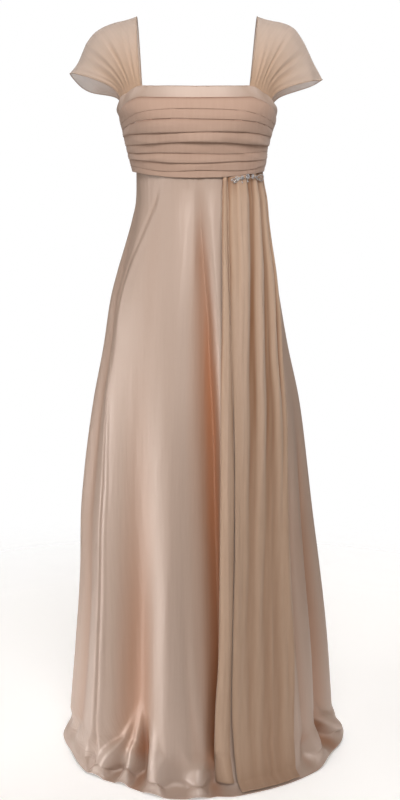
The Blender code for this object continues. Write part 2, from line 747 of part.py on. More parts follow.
def zip_pull(bar_y, metal):
    """The pull: an eye round the bar and a narrow blade that hangs from it."""
    hinge = bpy.data.objects.new("pull_hinge", None)
    hinge.location = (0, bar_y, ZIP_HEIGHT)
    bpy.context.scene.collection.objects.link(hinge)
    _, deep, tall = PULL_BLADE
    stem_top = -PULL_EYE_BORE - SEAM_GAP
    stem_middle = stem_top - PULL_STEM_HEIGHT / 2
    blade_middle = stem_top - PULL_STEM_HEIGHT + PULL_OVERLAP - tall / 2
    eye = rod("zip_pull", PULL_EYE_RADIUS, PULL_EYE_WIDTH, (0, 0, 0), metal)
    stem_size = (PULL_EYE_WIDTH, deep, PULL_STEM_HEIGHT)
    stem = block("stem", stem_size, (0, 0, stem_middle), metal)
    blade = block("blade", PULL_BLADE, (0, 0, blade_middle), metal)
    bore = rod("bore", PULL_EYE_BORE, PULL_EYE_WIDTH * 2, (0, 0, 0), metal)
    for tool, operation in ((stem, "UNION"), (blade, "UNION"), (bore, "DIFFERENCE")):
        tool.parent = hinge
        combine(eye, tool, operation)
    eye.parent = hinge


def build_gown():
    for leftover in list(bpy.data.objects):
        bpy.data.objects.remove(leftover)
    satin = make_material("champagne_satin", (0.60, 0.43, 0.34), 0.30)
    chiffon = make_material("chiffon", (0.52, 0.37, 0.28), 0.85)
    stones = make_material("crystal_trim", (0.75, 0.76, 0.80), 0.12, 0.8)
    metal = make_material("zip_metal", (0.55, 0.43, 0.34), 0.35, 0.9)

    bodice_panel("bodice_front", -90, 90, BODICE_COLUMNS, BODICE_ROWS, satin)
    bodice_panel("bodice_back_left", 90, 180, BACK_COLUMNS, BODICE_ROWS, satin)
    bodice_panel("bodice_back_right", -180, -90, BACK_COLUMNS, BODICE_ROWS, satin)
    ruched_front(chiffon)
    sleeve("sleeve_left", 1, chiffon)
    sleeve("sleeve_right", -1, chiffon)

    skirt_panel("skirt_front", -90, 90, satin)
    skirt_panel("skirt_back_left", 90, 180, satin)
    skirt_panel("skirt_back_right", -180, -90, satin)
    hanging_panel("drape", "drape_near", "drape_far", DRAPE_COLUMNS, DRAPE_END, drape_rise, chiffon)
    hanging_panel("drape_tail", "tail_near", "tail_far", TAIL_COLUMNS, TAIL_END, tail_rise, chiffon)

    jewelled_trim(stones)
    bar_y = zip_slider(metal)
    zip_pull(bar_y, metal)


build_gown()
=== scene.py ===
# %% [markdown]
# # A satin and chiffon gown
# The CAD model holds the plain form of a floor-length empire gown. The cells below give it its
# cloth. Everything is in metres, in the CAD model's own frame: +Z is up, the front faces -Y, and
# the origin lies between the tops of the two sleeves.

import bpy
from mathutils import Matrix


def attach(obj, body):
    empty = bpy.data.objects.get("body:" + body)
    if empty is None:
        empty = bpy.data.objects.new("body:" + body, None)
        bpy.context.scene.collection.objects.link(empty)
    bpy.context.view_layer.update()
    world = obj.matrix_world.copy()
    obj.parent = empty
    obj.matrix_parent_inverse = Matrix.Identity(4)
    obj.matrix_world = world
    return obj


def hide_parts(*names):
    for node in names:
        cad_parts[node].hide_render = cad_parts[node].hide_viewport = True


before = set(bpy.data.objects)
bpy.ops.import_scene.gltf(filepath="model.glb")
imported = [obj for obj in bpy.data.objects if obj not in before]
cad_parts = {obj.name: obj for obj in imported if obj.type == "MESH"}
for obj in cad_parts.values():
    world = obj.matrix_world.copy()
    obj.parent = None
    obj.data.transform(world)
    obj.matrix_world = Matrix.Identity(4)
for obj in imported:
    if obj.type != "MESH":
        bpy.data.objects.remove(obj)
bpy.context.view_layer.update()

# %% What the script works with
import math
from collections import namedtuple

import bmesh
import bpy
import numpy as np
from mathutils import Matrix, Vector

FLOOR = -1.48
# thickness of a wall of satin and of chiffon in the CAD model, and the gap that it keeps at a seam
SATIN = 0.002
CHIFFON = 0.0012
SEAM_GAP = 0.0003


def placed(name, data):
    """A new object that shows in the scene."""
    thing = bpy.data.objects.new(name, data)
    bpy.context.scene.collection.objects.link(thing)
    return thing


# %% [markdown]
# The gown stands in front of a plain pale ground. The camera looks slightly down on it from in
# front, at the height of the underbust seam, which shows the top of the hem where it lies on the
# floor. A long lens at two and a half metres keeps the skirt's sides from leaning.

# %% Camera
LENS = 54.41
CAMERA_PLACE = (0.010, -2.45, -0.31)
LOOKS_DOWN = 10.394

lens = bpy.data.cameras.new("front view")
lens.lens = LENS
lens.sensor_width = 36
camera = placed("front view", lens)
camera.location = CAMERA_PLACE
camera.rotation_euler = (math.radians(90 - LOOKS_DOWN), 0, 0)
bpy.context.scene.camera = camera
print("camera at", CAMERA_PLACE, "looks down by", LOOKS_DOWN, "degrees")

# %% [markdown]
# Satin shows its folds only where it has something bright and something dim to mirror. So a broad
# soft window stands on the left and a weaker one on the right, with a low one for the left side of
# the hem. A light above in front models the bodice, a small one picks out the cloth on the floor,
# and a strong one behind comes through the sleeves. A narrow spread keeps a light on its own part
# of the gown. The room is dimmer and warmer than the white ground that the camera sees.

# %% Light
# name, place, what it points at, size, power, spread in degrees
LIGHTS = (
    ("window left", (-2.6, -1.7, -0.2), (0, 0, -0.7), (1.5, 2.2), 14, 180),
    ("low window left", (-3.2, -0.55, -1.10), (0, 0, -1.32), (1.2, 1.4), 2.9, 32),
    ("window right", (2.6, -2.0, 0.2), (0, 0, -0.6), (1.4, 2.0), 9, 180),
    ("light in front", (0.15, -2.05, 1.30), (0, 0, -0.22), (1.6, 1.0), 8.5, 54),
    ("light on the hem", (0, -1.2, 1.3), (0, -0.44, -1.48), (1.4, 0.5), 0.85, 34),
    ("back light", (0.6, 2.8, 0.9), (0, 0, -0.7), (2.4, 1.6), 34, 180),
)
for name, place, target, size, power, spread in LIGHTS:
    light = bpy.data.lights.new(name, "AREA")
    light.shape = "RECTANGLE"
    light.size, light.size_y = size
    light.energy = power
    light.spread = math.radians(spread)
    lamp = placed(name, light)
    lamp.location = place
    lamp.rotation_euler = (Vector(target) - Vector(place)).to_track_quat("-Z", "Y").to_euler()
print(len(LIGHTS), "lights")

# %% Room and ground
world = bpy.data.worlds.new("studio")
world.use_nodes = True
nodes = world.node_tree.nodes
room, ground = nodes["Background"], nodes.new("ShaderNodeBackground")
for shader, colour, strength in ((room, (1.0, 0.87, 0.75, 1), 0.25), (ground, (1, 1, 1, 1), 1.0)):
    shader.inputs["Color"].default_value = colour
    shader.inputs["Strength"].default_value = strength
seen = nodes.new("ShaderNodeLightPath")
either = nodes.new("ShaderNodeMixShader")
feeds = (seen.outputs["Is Camera Ray"], room.outputs[0], ground.outputs[0])
for feed, socket in zip(feeds, either.inputs):
    world.node_tree.links.new(feed, socket)
world.node_tree.links.new(either.outputs[0], nodes["World Output"].inputs["Surface"])
bpy.context.scene.world = world
bpy.context.scene.view_settings.view_transform = "Standard"
print("a warm dim room, and a white ground for the camera")

# %% [markdown]
# A finish is a small graph of nodes. Writing its sums as Python expressions keeps them readable, so
# one class stands for the output of a node and turns arithmetic into Math nodes. Every other
# node comes from the method node, which takes its type, its settings and what feeds it.

# %% Shader sums
class Wire:
    """An output in a material. Arithmetic on it adds Math nodes."""

    def __init__(self, finish, socket):
        self.finish, self.socket = finish, socket

    def sum(self, operation, first, second):
        return self.finish.node("ShaderNodeMath", {"operation": operation}, {0: first, 1: second})

    def __add__(self, other):
        return self.sum("ADD", self, other)

    def __sub__(self, other):
        return self.sum("SUBTRACT", self, other)

    def __rsub__(self, other):
        return self.sum("SUBTRACT", other, self)

    def __mul__(self, other):
        return self.sum("MULTIPLY", self, other)

    __radd__ = __add__
    __rmul__ = __mul__


class Finish:
    """A material on one Principled shader, with its constants set on the shader's own sockets."""

    def __init__(self, name, **constants):
        self.material = bpy.data.materials.new(name)
        self.material.use_nodes = True
        self.tree = self.material.node_tree
        self.shader = self.tree.nodes["Principled BSDF"]
        for socket, value in constants.items():
            self.shader.inputs[socket.replace("_", " ")].default_value = value

    def node(self, kind, settings=None, feeds=None, output=0):
        made = self.tree.nodes.new(kind)
        for setting, value in (settings or {}).items():
            setattr(made, setting, value)
        for socket, value in (feeds or {}).items():
            self.feed(made.inputs[socket], value)
        return Wire(self, made.outputs[output])

    def feed(self, socket, value):
        if isinstance(value, Wire):
            self.tree.links.new(value.socket, socket)
        else:
            socket.default_value = value

    def set(self, **sockets):
        for socket, value in sockets.items():
            self.feed(self.shader.inputs[socket.replace("_", " ")], value)

    def between_colours(self, share, first, last):
        settings = {"data_type": "RGBA", "clamp_factor": True}
        return self.node("ShaderNodeMix", settings, {0: share, 6: first, 7: last}, 2)

    def on_cloth(self, across, along):
        """The cloth's own map in metres, stretched to so many repeats a metre."""
        cut = self.node("ShaderNodeUVMap", {"uv_map": "cut"})
        feeds = {0: cut, 1: (across, along, 1)}
        return self.node("ShaderNodeVectorMath", {"operation": "MULTIPLY"}, feeds)

    def noise(self, place, scale, detail=2.0, roughness=0.5):
        feeds = {"Vector": place, "Scale": scale, "Detail": detail, "Roughness": roughness}
        return self.node("ShaderNodeTexNoise", None, feeds)

    def attribute(self, name):
        return self.node("ShaderNodeAttribute", {"attribute_name": name}, None, "Fac")

    def object_place(self):
        return self.node("ShaderNodeTexCoord", None, None, "Object")

    def bump(self, height, distance, strength=1.0):
        feeds = {"Height": height, "Distance": distance, "Strength": strength}
        self.set(Normal=self.node("ShaderNodeBump", None, feeds))


# %% [markdown]
# Champagne satin is woven so that long threads float on its face, which is why it mirrors a window
# as a broad soft band. Its colour is painted darker at the bottom of a fold, to a warm tan, and to
# a rusty brown in the few deepest ones. This is painted shade and painted reflection of the cloth
# beside it. On the ridges it is painted lighter, as a painted highlight. Fine slubs along the
# threads keep the highlight from looking like enamel. The bodice is the same satin over an
# interlining, so it lies flatter and mirrors less sharply.

# %% Satin finish
def satin_finish(name, ripple_height, roughness):
    satin = Finish(name, Metallic=0.16, IOR=1.85, Sheen_Weight=0.04, Sheen_Roughness=0.4)
    fold = satin.attribute("fold")
    slubs = satin.noise(satin.on_cloth(420, 34), 1.0, 3.0, 0.6)
    tone = satin.noise(satin.object_place(), 5.0, 2.0)
    # painted shade: the colour darkens to a warm tan where the fold value is below 0, in the
    # hollows
    deep = satin.between_colours(fold * -1.0, (0.440, 0.320, 0.255, 1), (0.37, 0.185, 0.105, 1))
    # painted shade: a rusty brown in the deepest hollows
    deepest = satin.between_colours(fold * -1.7 - 1.9, deep, (0.43, 0.158, 0.058, 1))
    # painted highlight: the colour lightens on the ridges of the folds
    with_painted_light = satin.between_colours(fold * 0.9, deepest, (0.500, 0.385, 0.325, 1))
    mottled = satin.between_colours(tone * 0.25 + slubs * 0.12, with_painted_light, (0.410, 0.290, 0.228, 1))
    threads = satin.noise(satin.on_cloth(3400, 600), 1.0, 1.0)
    ripples = satin.noise(satin.on_cloth(22, 2.4), 1.0, 3.0, 0.6)
    satin.set(Base_Color=mottled, Roughness=slubs * 0.10 + roughness)
    satin.bump(ripples + slubs * 0.05 + threads * 0.006, ripple_height, 0.7)
    return satin.material


# %% [markdown]
# Chiffon is woven from hard-twisted crepe yarn, so it is matte and faintly grainy. Gathered over
# satin it looks solid, and its colour is painted darker between its folds, as painted shade, and
# lighter on them, as painted highlight.

# %% Chiffon finish
# body is the chiffon's own colour, deep the colour of its painted shade, light that of its painted
# highlight
def chiffon_finish(name, body, deep, light):
    crepe = Finish(
        name, Roughness=0.78, Specular_IOR_Level=0.25, Sheen_Weight=0.25, Sheen_Roughness=0.5
    )
    fold = crepe.attribute("fold")
    grain = crepe.noise(crepe.on_cloth(1500, 1500), 1.0, 2.0, 0.65)
    crinkle = crepe.noise(crepe.on_cloth(150, 18), 1.0, 3.0, 0.55)
    # painted shade in the hollows of the folds and painted highlight on their ridges
    shaded = crepe.between_colours(fold * -1.0, body, deep)
    with_painted_light = crepe.between_colours(fold * 0.8, shaded, light)
    speckled = crepe.between_colours(grain * 0.22 + crinkle * 0.22, with_painted_light, deep)
    crepe.set(Base_Color=speckled)
    crepe.bump(grain * 0.3 + crinkle * 0.7, 0.00045, 0.5)
    return crepe.material


# %% [markdown]
# The cap sleeves are a single layer of the same chiffon. Light comes through them, and where two
# layers lie behind each other they look darker. Each face of the thin shell lets part of the light
# by, less at the gathers, where the yarns crowd together.

# %% Sheer finish
def sheer_finish():
    sheer = Finish("sheer chiffon", Roughness=0.8, Specular_IOR_Level=0.2, Sheen_Weight=0.3)
    fold = sheer.attribute("fold")
    crowd = sheer.attribute("crowd")
    grain = sheer.noise(sheer.on_cloth(1500, 1500), 1.0, 2.0, 0.65)
    streak = sheer.noise(sheer.on_cloth(260, 9), 1.0, 3.0, 0.5)
    body = sheer.between_colours(crowd, (0.60, 0.470, 0.385, 1), (0.55, 0.365, 0.245, 1))
    # painted shade: the colour darkens in the hollows of the pleats
    shaded = sheer.between_colours(fold * -1.0, body, (0.50, 0.325, 0.205, 1))
    sheer.set(
        Base_Color=sheer.between_colours(grain * 0.25, shaded, (0.50, 0.37, 0.28, 1)),
        Alpha=crowd * 0.26 + fold * -0.04 + streak * 0.08 + 0.45,
    )
    return sheer.material


# %% Finishes of the cloth
SATIN_CLOTH = satin_finish("champagne satin", 0.0042, 0.42)
BODICE_SATIN = satin_finish("interlined satin", 0.0012, 0.58)
# each chiffon: its own colour, its painted shade colour and its painted highlight colour
RUCHED_CHIFFON = chiffon_finish(
    "ruched chiffon", (0.465, 0.318, 0.245, 1), (0.24, 0.125, 0.080, 1), (0.530, 0.385, 0.310, 1)
)
DRAPE_CHIFFON = chiffon_finish(
    "draped chiffon", (0.492, 0.350, 0.254, 1), (0.200, 0.084, 0.032, 1), (0.54, 0.400, 0.310, 1)
)
SHEER_CHIFFON = sheer_finish()
ROLLED_CHIFFON = chiffon_finish(
    "rolled chiffon", (0.47, 0.345, 0.265, 1), (0.36, 0.235, 0.160, 1), (0.50, 0.380, 0.300, 1)
)
CLOTHS = (SATIN_CLOTH, BODICE_SATIN, RUCHED_CHIFFON, DRAPE_CHIFFON, SHEER_CHIFFON, ROLLED_CHIFFON)
print("cloth finishes", [cloth.name for cloth in CLOTHS])

# %% [markdown]
# A point on the gown is named by its turn, in degrees round the body from the centre front
# (positive towards +X, the wearer's left), and by its height. The rows of sizes are the ones that
# the CAD model was drawn from, and a curve with no overshoot runs through each column of them.

# %% Curves through rows of sizes
def mix(first, last, share):
    return first + (last - first) * share


def between(keys, values, at):
    """The value at a place between two keys, on a curve with no overshoot."""
    keys, values = np.asarray(keys, float), np.asarray(values, float)
    slopes = np.diff(values) / np.diff(keys)
    before, after = slopes[:-1], slopes[1:]
    turning = before * after > 0
    tangents = np.concatenate((slopes[:1], np.zeros(len(before)), slopes[-1:]))
    tangents[1:-1][turning] = (2 * before * after / (before + after + 1e-30))[turning]
    at = np.clip(at, keys[0], keys[-1])
    i = np.clip(np.searchsorted(keys, at, side="right") - 1, 0, len(keys) - 2)
    span = keys[i + 1] - keys[i]
    t = (at - keys[i]) / span
    ends = values[i] * (1 + 2 * t) * (1 - t) ** 2 + values[i + 1] * t * t * (3 - 2 * t)
    return ends + span * (tangents[i] * t * (1 - t) ** 2 - tangents[i + 1] * t * t * (1 - t))


def column(table, c, at):
    """The value in one column of a table, at a place along its first column."""
    return between(table[:, 0], table[:, c], at)


def bell(distance, reach):
    """1 at the middle, fading softly over a reach on either side."""
    return np.exp(-((distance / reach) ** 2))


def hump(distance, low_side, high_side=None):
    """1 at the middle of a fold, falling softly to 0 at twice its half width on either side."""
    half_width = np.where(distance < 0, low_side, low_side if high_side is None else high_side)
    x = distance / (2 * half_width)
    return np.where(np.abs(x) < 1, (1 - x * x) ** 2, 0.0)


def swept(share, first, last):
    """0 to 1 along a slope. first and last tell how sharply it starts and ends: level at 0,
    straight at 1."""
    start = share * (1 - share) ** 2
    end = share * share * (1 - share)
    return share * share * (3 - 2 * share) + first * start - last * end


def grown(at, start, end):
    """0 at start, 1 at end, smooth between."""
    share = np.clip((at - start) / (end - start), 0, 1)
    return share * share * (3 - 2 * share)


def unit(vectors):
    return vectors / np.maximum(np.linalg.norm(vectors, axis=-1, keepdims=True), 1e-12)


# %% The gown's rows of sizes
# height, half width towards -X, half width towards +X, depth in front, depth behind
BODICE_SECTIONS = np.array((
    (-0.312, 0.1185, 0.1310, 0.0980, 0.0825),
    (-0.300, 0.1210, 0.1335, 0.1000, 0.0840),
    (-0.278, 0.1270, 0.1390, 0.1050, 0.0865),
    (-0.251, 0.1330, 0.1420, 0.1130, 0.0890),
    (-0.224, 0.1395, 0.1495, 0.1215, 0.0910),
    (-0.196, 0.1475, 0.1590, 0.1250, 0.0920),
    (-0.176, 0.1550, 0.1630, 0.1220, 0.0920),
    (-0.160, 0.1550, 0.1585, 0.1160, 0.0915),
    (-0.130, 0.1500, 0.1530, 0.1040, 0.0905),
))
SKIRT_SECTIONS = np.array((
    (-1.480, 0.2660, 0.2880, 0.2640, 0.2600),
    (-1.405, 0.2600, 0.2830, 0.2590, 0.2550),
    (-1.281, 0.2490, 0.2730, 0.2450, 0.2420),
    (-1.103, 0.2370, 0.2515, 0.2230, 0.2180),
    (-1.005, 0.2345, 0.2395, 0.2100, 0.2050),
    (-0.899, 0.2250, 0.2275, 0.1940, 0.1900),
    (-0.758, 0.2060, 0.2105, 0.1700, 0.1700),
    (-0.643, 0.1840, 0.1880, 0.1480, 0.1520),
    (-0.549, 0.1690, 0.1715, 0.1320, 0.1350),
    (-0.492, 0.1545, 0.1610, 0.1220, 0.1220),
    (-0.432, 0.1365, 0.1490, 0.1120, 0.1050),
    (-0.392, 0.1255, 0.1425, 0.1060, 0.0950),
    (-0.353, 0.1175, 0.1380, 0.1010, 0.0870),
    (-0.325, 0.1165, 0.1330, 0.0990, 0.0835),
    (-0.296, 0.1165, 0.1295, 0.0985, 0.0835),
))
HEM_SIZES = (0.2815, 0.3155, 0.3120, 0.2950)
HEM = np.array(((FLOOR - 1, *HEM_SIZES), (FLOOR + 1, *HEM_SIZES)))
# turn, height
TOP_EDGE = np.array((
    (0, -0.1380), (28, -0.1370), (41, -0.1355), (50, -0.1395), (61, -0.1490), (70, -0.1585),
    (78, -0.1685), (90, -0.1800), (104, -0.1790), (121, -0.1640), (137, -0.1530),
    (150, -0.1500), (180, -0.1500),
))
UNDERBUST_SEAM = np.array((
    (0, -0.3090), (20, -0.3080), (45, -0.3030), (90, -0.2960), (180, -0.3000),
))


def round_body(turn):
    """The same turn, from -180 to 180."""
    return (turn + 180) % 360 - 180


def edge_height(edge, turn):
    return column(edge, 1, np.abs(round_body(turn)))


def on_sections(sections, turn, height):
    """Points on the sections, and the level direction outwards there."""
    minus_x, plus_x, front, back = (column(sections, c, height) for c in (1, 2, 3, 4))
    sine, cosine = np.sin(np.radians(turn)), np.cos(np.radians(turn))
    wide = np.where(sine > 0, plus_x, minus_x)
    deep = np.where(cosine > 0, front, back)
    points = np.stack((wide * sine, -deep * cosine, height + 0 * sine), -1)
    return points, unit(np.stack((sine / wide, -cosine / deep, 0 * wide), -1))


def facing(surface, across, along, outwards, step=(0.02, 0.001)):
    """A surface's unit normals, turned to the side that outwards points to."""
    side = surface(across + step[0], along) - surface(across - step[0], along)
    fall = surface(across, along + step[1]) - surface(across, along - step[1])
    normals = unit(np.cross(side, fall))
    return normals * np.where((normals * outwards).sum(-1, keepdims=True) < 0, -1, 1)


def level_outwards(turn):
    sine, cosine = np.sin(np.radians(turn)), np.cos(np.radians(turn))
    return np.stack((sine, -cosine, 0.25 + 0 * sine), -1)


# %% [markdown]
# Every piece of cloth is a grid from one bmesh operator. A place function moves each point of
# the grid to where it hangs, and the grid gets a map in metres along and across the cloth, for the
# weave, and a value that follows the depth of its folds, with which the finish paints shade into
# the hollows and highlight onto the ridges. A Solidify modifier gives the sheet its real
# thinness, inwards from the face that shows.

# %% What a cloth's points carry
def on_points(data, name, values):
    """A value for each point of a mesh, which its finish reads."""
    data.attributes.new(name, "FLOAT", "POINT").data.foreach_set("value", values)


def walked(points, axis=0):
    """How far each point lies from the first one, along the cloth."""
    steps = np.diff(points, axis=axis, prepend=points.take([0], axis))
    return np.cumsum(np.linalg.norm(steps, axis=-1), axis=axis)


# %% Cloth maker
def lay_cloth(name, columns, rows, place, material, thickness=0.00045, inside_out=False, **extra):
    """A sheet over shares across (columns) and down (rows). place(across, down) gives its points
    and a value for painted shade and highlight, which follows the depth of its folds: 1 painted
    lighter on a ridge, -1 painted darker in a hollow and -2 darkest in the deepest ones. Returns
    the object and its points."""
    points, folds = place(*np.meshgrid(columns, rows))
    mesh = bmesh.new()
    bmesh.ops.create_grid(mesh, x_segments=len(columns) - 1, y_segments=len(rows) - 1, size=0.5)
    data = bpy.data.meshes.new(name)
    mesh.to_mesh(data)
    mesh.free()
    flat = np.empty(len(data.vertices) * 3, np.float32)
    data.vertices.foreach_get("co", flat)
    c = np.rint((flat[0::3] + 0.5) * (len(columns) - 1)).astype(int)
    r = np.rint((flat[1::3] + 0.5) * (len(rows) - 1)).astype(int)
    data.vertices.foreach_set("co", points[r, c].astype(np.float32).ravel())
    # the fold attribute carries the painted shade and highlight value to the finish
    for word, values in dict(fold=np.clip(folds, -2, 1), **extra).items():
        on_points(data, word, values[r, c].astype(np.float32))
    widths, lengths = walked(points, 1), walked(points)
    widths -= widths[:, [len(columns) // 2]]
    corner = np.empty(len(data.loops), np.int32)
    data.loops.foreach_get("vertex_index", corner)
    cut = np.stack((widths[r, c], lengths[r, c]), -1)[corner]
    data.uv_layers.new(name="cut").data.foreach_set("uv", cut.astype(np.float32).ravel())
    if not inside_out:
        data.flip_normals()
    data.shade_smooth()
    data.materials.append(material)
    cloth = placed(name, data)
    shell = cloth.modifiers.new("thinness", "SOLIDIFY")
    shell.thickness = thickness
    shell.offset = -1
    area = sum(p.area for p in data.polygons)
    top, foot = (np.ptp(widths[row]) for row in (0, -1))
    print(f"{name}: {len(data.polygons)} faces, {area:.3f} square metres, {top:.3f} wide at the "
          f"top, {foot:.3f} at the foot, {lengths.max():.3f} long")
    return cloth, points


def shares(stops):
    """Places along a sheet from its first number on. Each next part ends at a place, and reaches
    it in even steps of about a length."""
    made = [float(stops[0])]
    for end, step in stops[1:]:
        count = max(1, round(abs(end - made[-1]) / step))
        made += list(np.linspace(made[-1], end, count + 1)[1:])
    return np.array(made)


# %% [markdown]
# The bodice is cut in three satin panels, one in front and two behind, closed by a concealed zip at
# the centre back. Its top is a folded band 24 mm deep. Only the band shows in front, with a soft
# roll along its edge and drag lines where the sleeves pull at its corners.

# %% Bodice shape
NECK_BAND = 0.024
# the cups: turn and height of their middle, half width in degrees, half height, rise
CUP_TURN, CUP_HEIGHT, CUP_HALF_WIDTH, CUP_HALF_HEIGHT, CUP_RISE = 34, -0.193, 22, 0.036, 0.009
SEAMS = (-90, 90, 180)


def bodice(turn, height):
    """The outer face of the satin bodice, with its cups."""
    points, outward = on_sections(BODICE_SECTIONS, turn, height)
    aside = (np.abs(round_body(turn)) - CUP_TURN) / CUP_HALF_WIDTH
    up = (height - CUP_HEIGHT) / CUP_HALF_HEIGHT
    return points + outward * (CUP_RISE * np.exp(-aside * aside - up * up))[..., None]


def bodice_offset(turn, height, out):
    """Points on the bodice, moved out by so much."""
    normals = facing(bodice, turn, height, level_outwards(turn))
    return bodice(turn, height) + normals * np.asarray(out)[..., None]


def seam_pinch(turn, reach):
    """1 on a seam, fading over so many degrees."""
    return sum(bell(round_body(turn - seam), reach) for seam in SEAMS)


# %% Bodice cloth
# how far the cloth sinks at its folded top edge, under the band and along a seam
EDGE_SINK, BAND_SINK, SEAM_SINK = 0.0016, 0.0007, 0.0006
# drag lines of the band: turn at its top edge, turn at its foot, half width, rise
BAND_DRAGS = (
    (-66, -72, 3.0, 0.0016), (-58, -63, 2.2, -0.0012), (-47, -54, 2.6, 0.0014),
    (-38, -43, 2.0, -0.0008), (37, 44, 2.4, -0.0009), (48, 52, 2.6, 0.0014),
    (57, 63, 2.4, -0.0012), (67, 74, 3.0, 0.0013), (-20, -16, 6.0, 0.0005),
    (4, 9, 7.0, -0.0005), (24, 20, 5.0, 0.0004),
)


def bodice_sheet(turn, share):
    """share runs from the underbust seam (0) to the top edge (1)."""
    top, seam = edge_height(TOP_EDGE, turn), edge_height(UNDERBUST_SEAM, turn)
    height = mix(seam, top, share)
    below_edge = top - height
    relief = -EDGE_SINK * bell(below_edge, 0.0016)
    relief = relief - BAND_SINK * bell(below_edge - NECK_BAND, 0.0013)
    relief = relief - SEAM_SINK * seam_pinch(turn, 1.6)
    in_band = grown(-below_edge, -NECK_BAND * 1.2, -NECK_BAND * 0.3)
    for at_top, at_foot, half_width, rise in BAND_DRAGS:
        middle = mix(at_top, at_foot, below_edge / NECK_BAND)
        relief = relief + rise * in_band * hump(round_body(turn - middle), half_width)
    behind = grown(np.abs(round_body(turn)), 100, 120)
    ripple = np.sin(np.radians(turn) * 23 + height * 60) * np.sin(height * 95 + turn * 0.05)
    relief = relief + 0.0006 * behind * ripple
    # painted shadow: a dark line on the satin just under the ruching's top edge; the band is
    # painted lighter as a painted highlight, and the colour follows the relief as painted shade and
    # highlight
    painted_shadow_under_ruching = bell(below_edge - NECK_BAND, 0.0018)
    tone = relief / 0.0022 + 0.5 * in_band - 1.2 * painted_shadow_under_ruching
    return bodice_offset(turn, height, relief), tone


# %% Bodice panels
BODICE_HALF_WIDTH = 0.11
INTERLINED = 0.0008
BODICE_ROWS = shares((0.0, (0.80, 0.045), (0.97, 0.012), (1.0, 0.0045)))


def seam_turns(half_width, first, *parts):
    """Turns of a panel's columns, which stop short of its seams by half their gap."""
    short = math.degrees(SEAM_GAP / 2 / half_width) * 1.2
    *inner, (last, step) = parts
    return shares((first + short, *inner, (last - short, step)))


def bodice_panel(name, first, last, step):
    turns = seam_turns(BODICE_HALF_WIDTH, first, (last, step))
    return lay_cloth(name, turns, BODICE_ROWS, bodice_sheet, BODICE_SATIN, INTERLINED, True)[0]


bodice_front = bodice_panel("satin_bodice_front", -90, 90, 1.6)
bodice_back_left = bodice_panel("satin_bodice_back_left", 90, 180, 1.8)
bodice_back_right = bodice_panel("satin_bodice_back_right", -180, -90, 1.8)

# %% [markdown]
# The bodice front is covered by a chiffon panel laid in eight cross pleats. Each is a tuck whose
# folded lower edge lies over the next, so it throws a fine dark line, which a painted shadow
# deepens. They arch over the bust, sag towards the seam and are drawn together at the sides. The
# upper ones are faint.

# %% Cross pleats
RUCHING_GAP = 0.0013
CHIFFON_THINNESS = 0.00035
# lower edge at the centre front and at the sides, rise, how strongly the fold is pressed, and the
# turn where it is deepest, with its reach in degrees
CROSS_PLEATS = np.array((
    (-0.183, -0.206, 0.0022, 0.30, -8, 34),
    (-0.199, -0.217, 0.0020, 0.45, 14, 40),
    (-0.222, -0.229, 0.0036, 1.00, -30, 95),
    (-0.241, -0.246, 0.0042, 1.20, 24, 110),
    (-0.262, -0.258, 0.0034, 0.75, -52, 75),
    (-0.279, -0.270, 0.0034, 0.95, -18, 105),
    (-0.295, -0.284, 0.0026, 0.70, 38, 80),
    (-0.309, -0.296, 0.0022, 0.60, 0, 120),
))
# soft creases across the pleats: turn and height of their middle, length and width, slant, rise
SOFT_CREASES = (
    (-62, -0.252, 16, 0.0045, 0.00035, 0.0011), (-50, -0.236, 13, 0.0035, -0.00030, 0.0008),
    (-40, -0.272, 15, 0.0040, 0.00025, 0.0010), (-22, -0.211, 20, 0.0050, 0.00012, 0.0007),
    (-6, -0.252, 14, 0.0035, -0.00016, 0.0007), (10, -0.285, 18, 0.0040, 0.00014, 0.0009),
    (26, -0.231, 17, 0.0045, -0.00015, 0.0008), (44, -0.264, 13, 0.0035, -0.00035, 0.0010),
    (58, -0.241, 14, 0.0040, -0.00030, 0.0011), (66, -0.275, 12, 0.0035, 0.00030, 0.0009),
    (-72, -0.225, 10, 0.0040, 0.00050, 0.0010), (72, -0.222, 10, 0.0040, -0.00050, 0.0010),
)
# round one tuck: share of the way down to its lower edge, share of its rise
TUCK = np.array((
    (0.00, 0.00), (0.10, 0.17), (0.26, 0.42), (0.45, 0.66), (0.64, 0.85), (0.80, 0.97),
    (0.92, 1.00), (1.01, 0.90), (1.06, 0.66), (1.07, 0.40), (1.04, 0.15), (1.00, 0.00),
))
# puckers above the trim: turn, half width, rise
SEAM_PUCKERS = (
    (33, 1.6, 0.0012), (37.5, 1.3, 0.0020), (42, 1.5, 0.0013), (47, 1.2, 0.0021),
    (51.5, 1.6, 0.0016), (57, 1.5, 0.0018), (64, 2.0, 0.0010), (72, 1.8, 0.0013),
)


def pleat_line(index, turn):
    """Height of the lower edge of a pleat. Number 0 is the foot of the band."""
    if index == 0:
        return edge_height(TOP_EDGE, turn) - NECK_BAND
    if index == len(CROSS_PLEATS):
        return edge_height(UNDERBUST_SEAM, turn)
    centre, side = CROSS_PLEATS[index - 1, :2]
    wander = 0.0011 * np.sin(np.radians(turn) * (2.3 + index * 0.37) + index * 1.9)
    return mix(centre, side, np.abs(np.sin(np.radians(turn))) ** 4) + wander


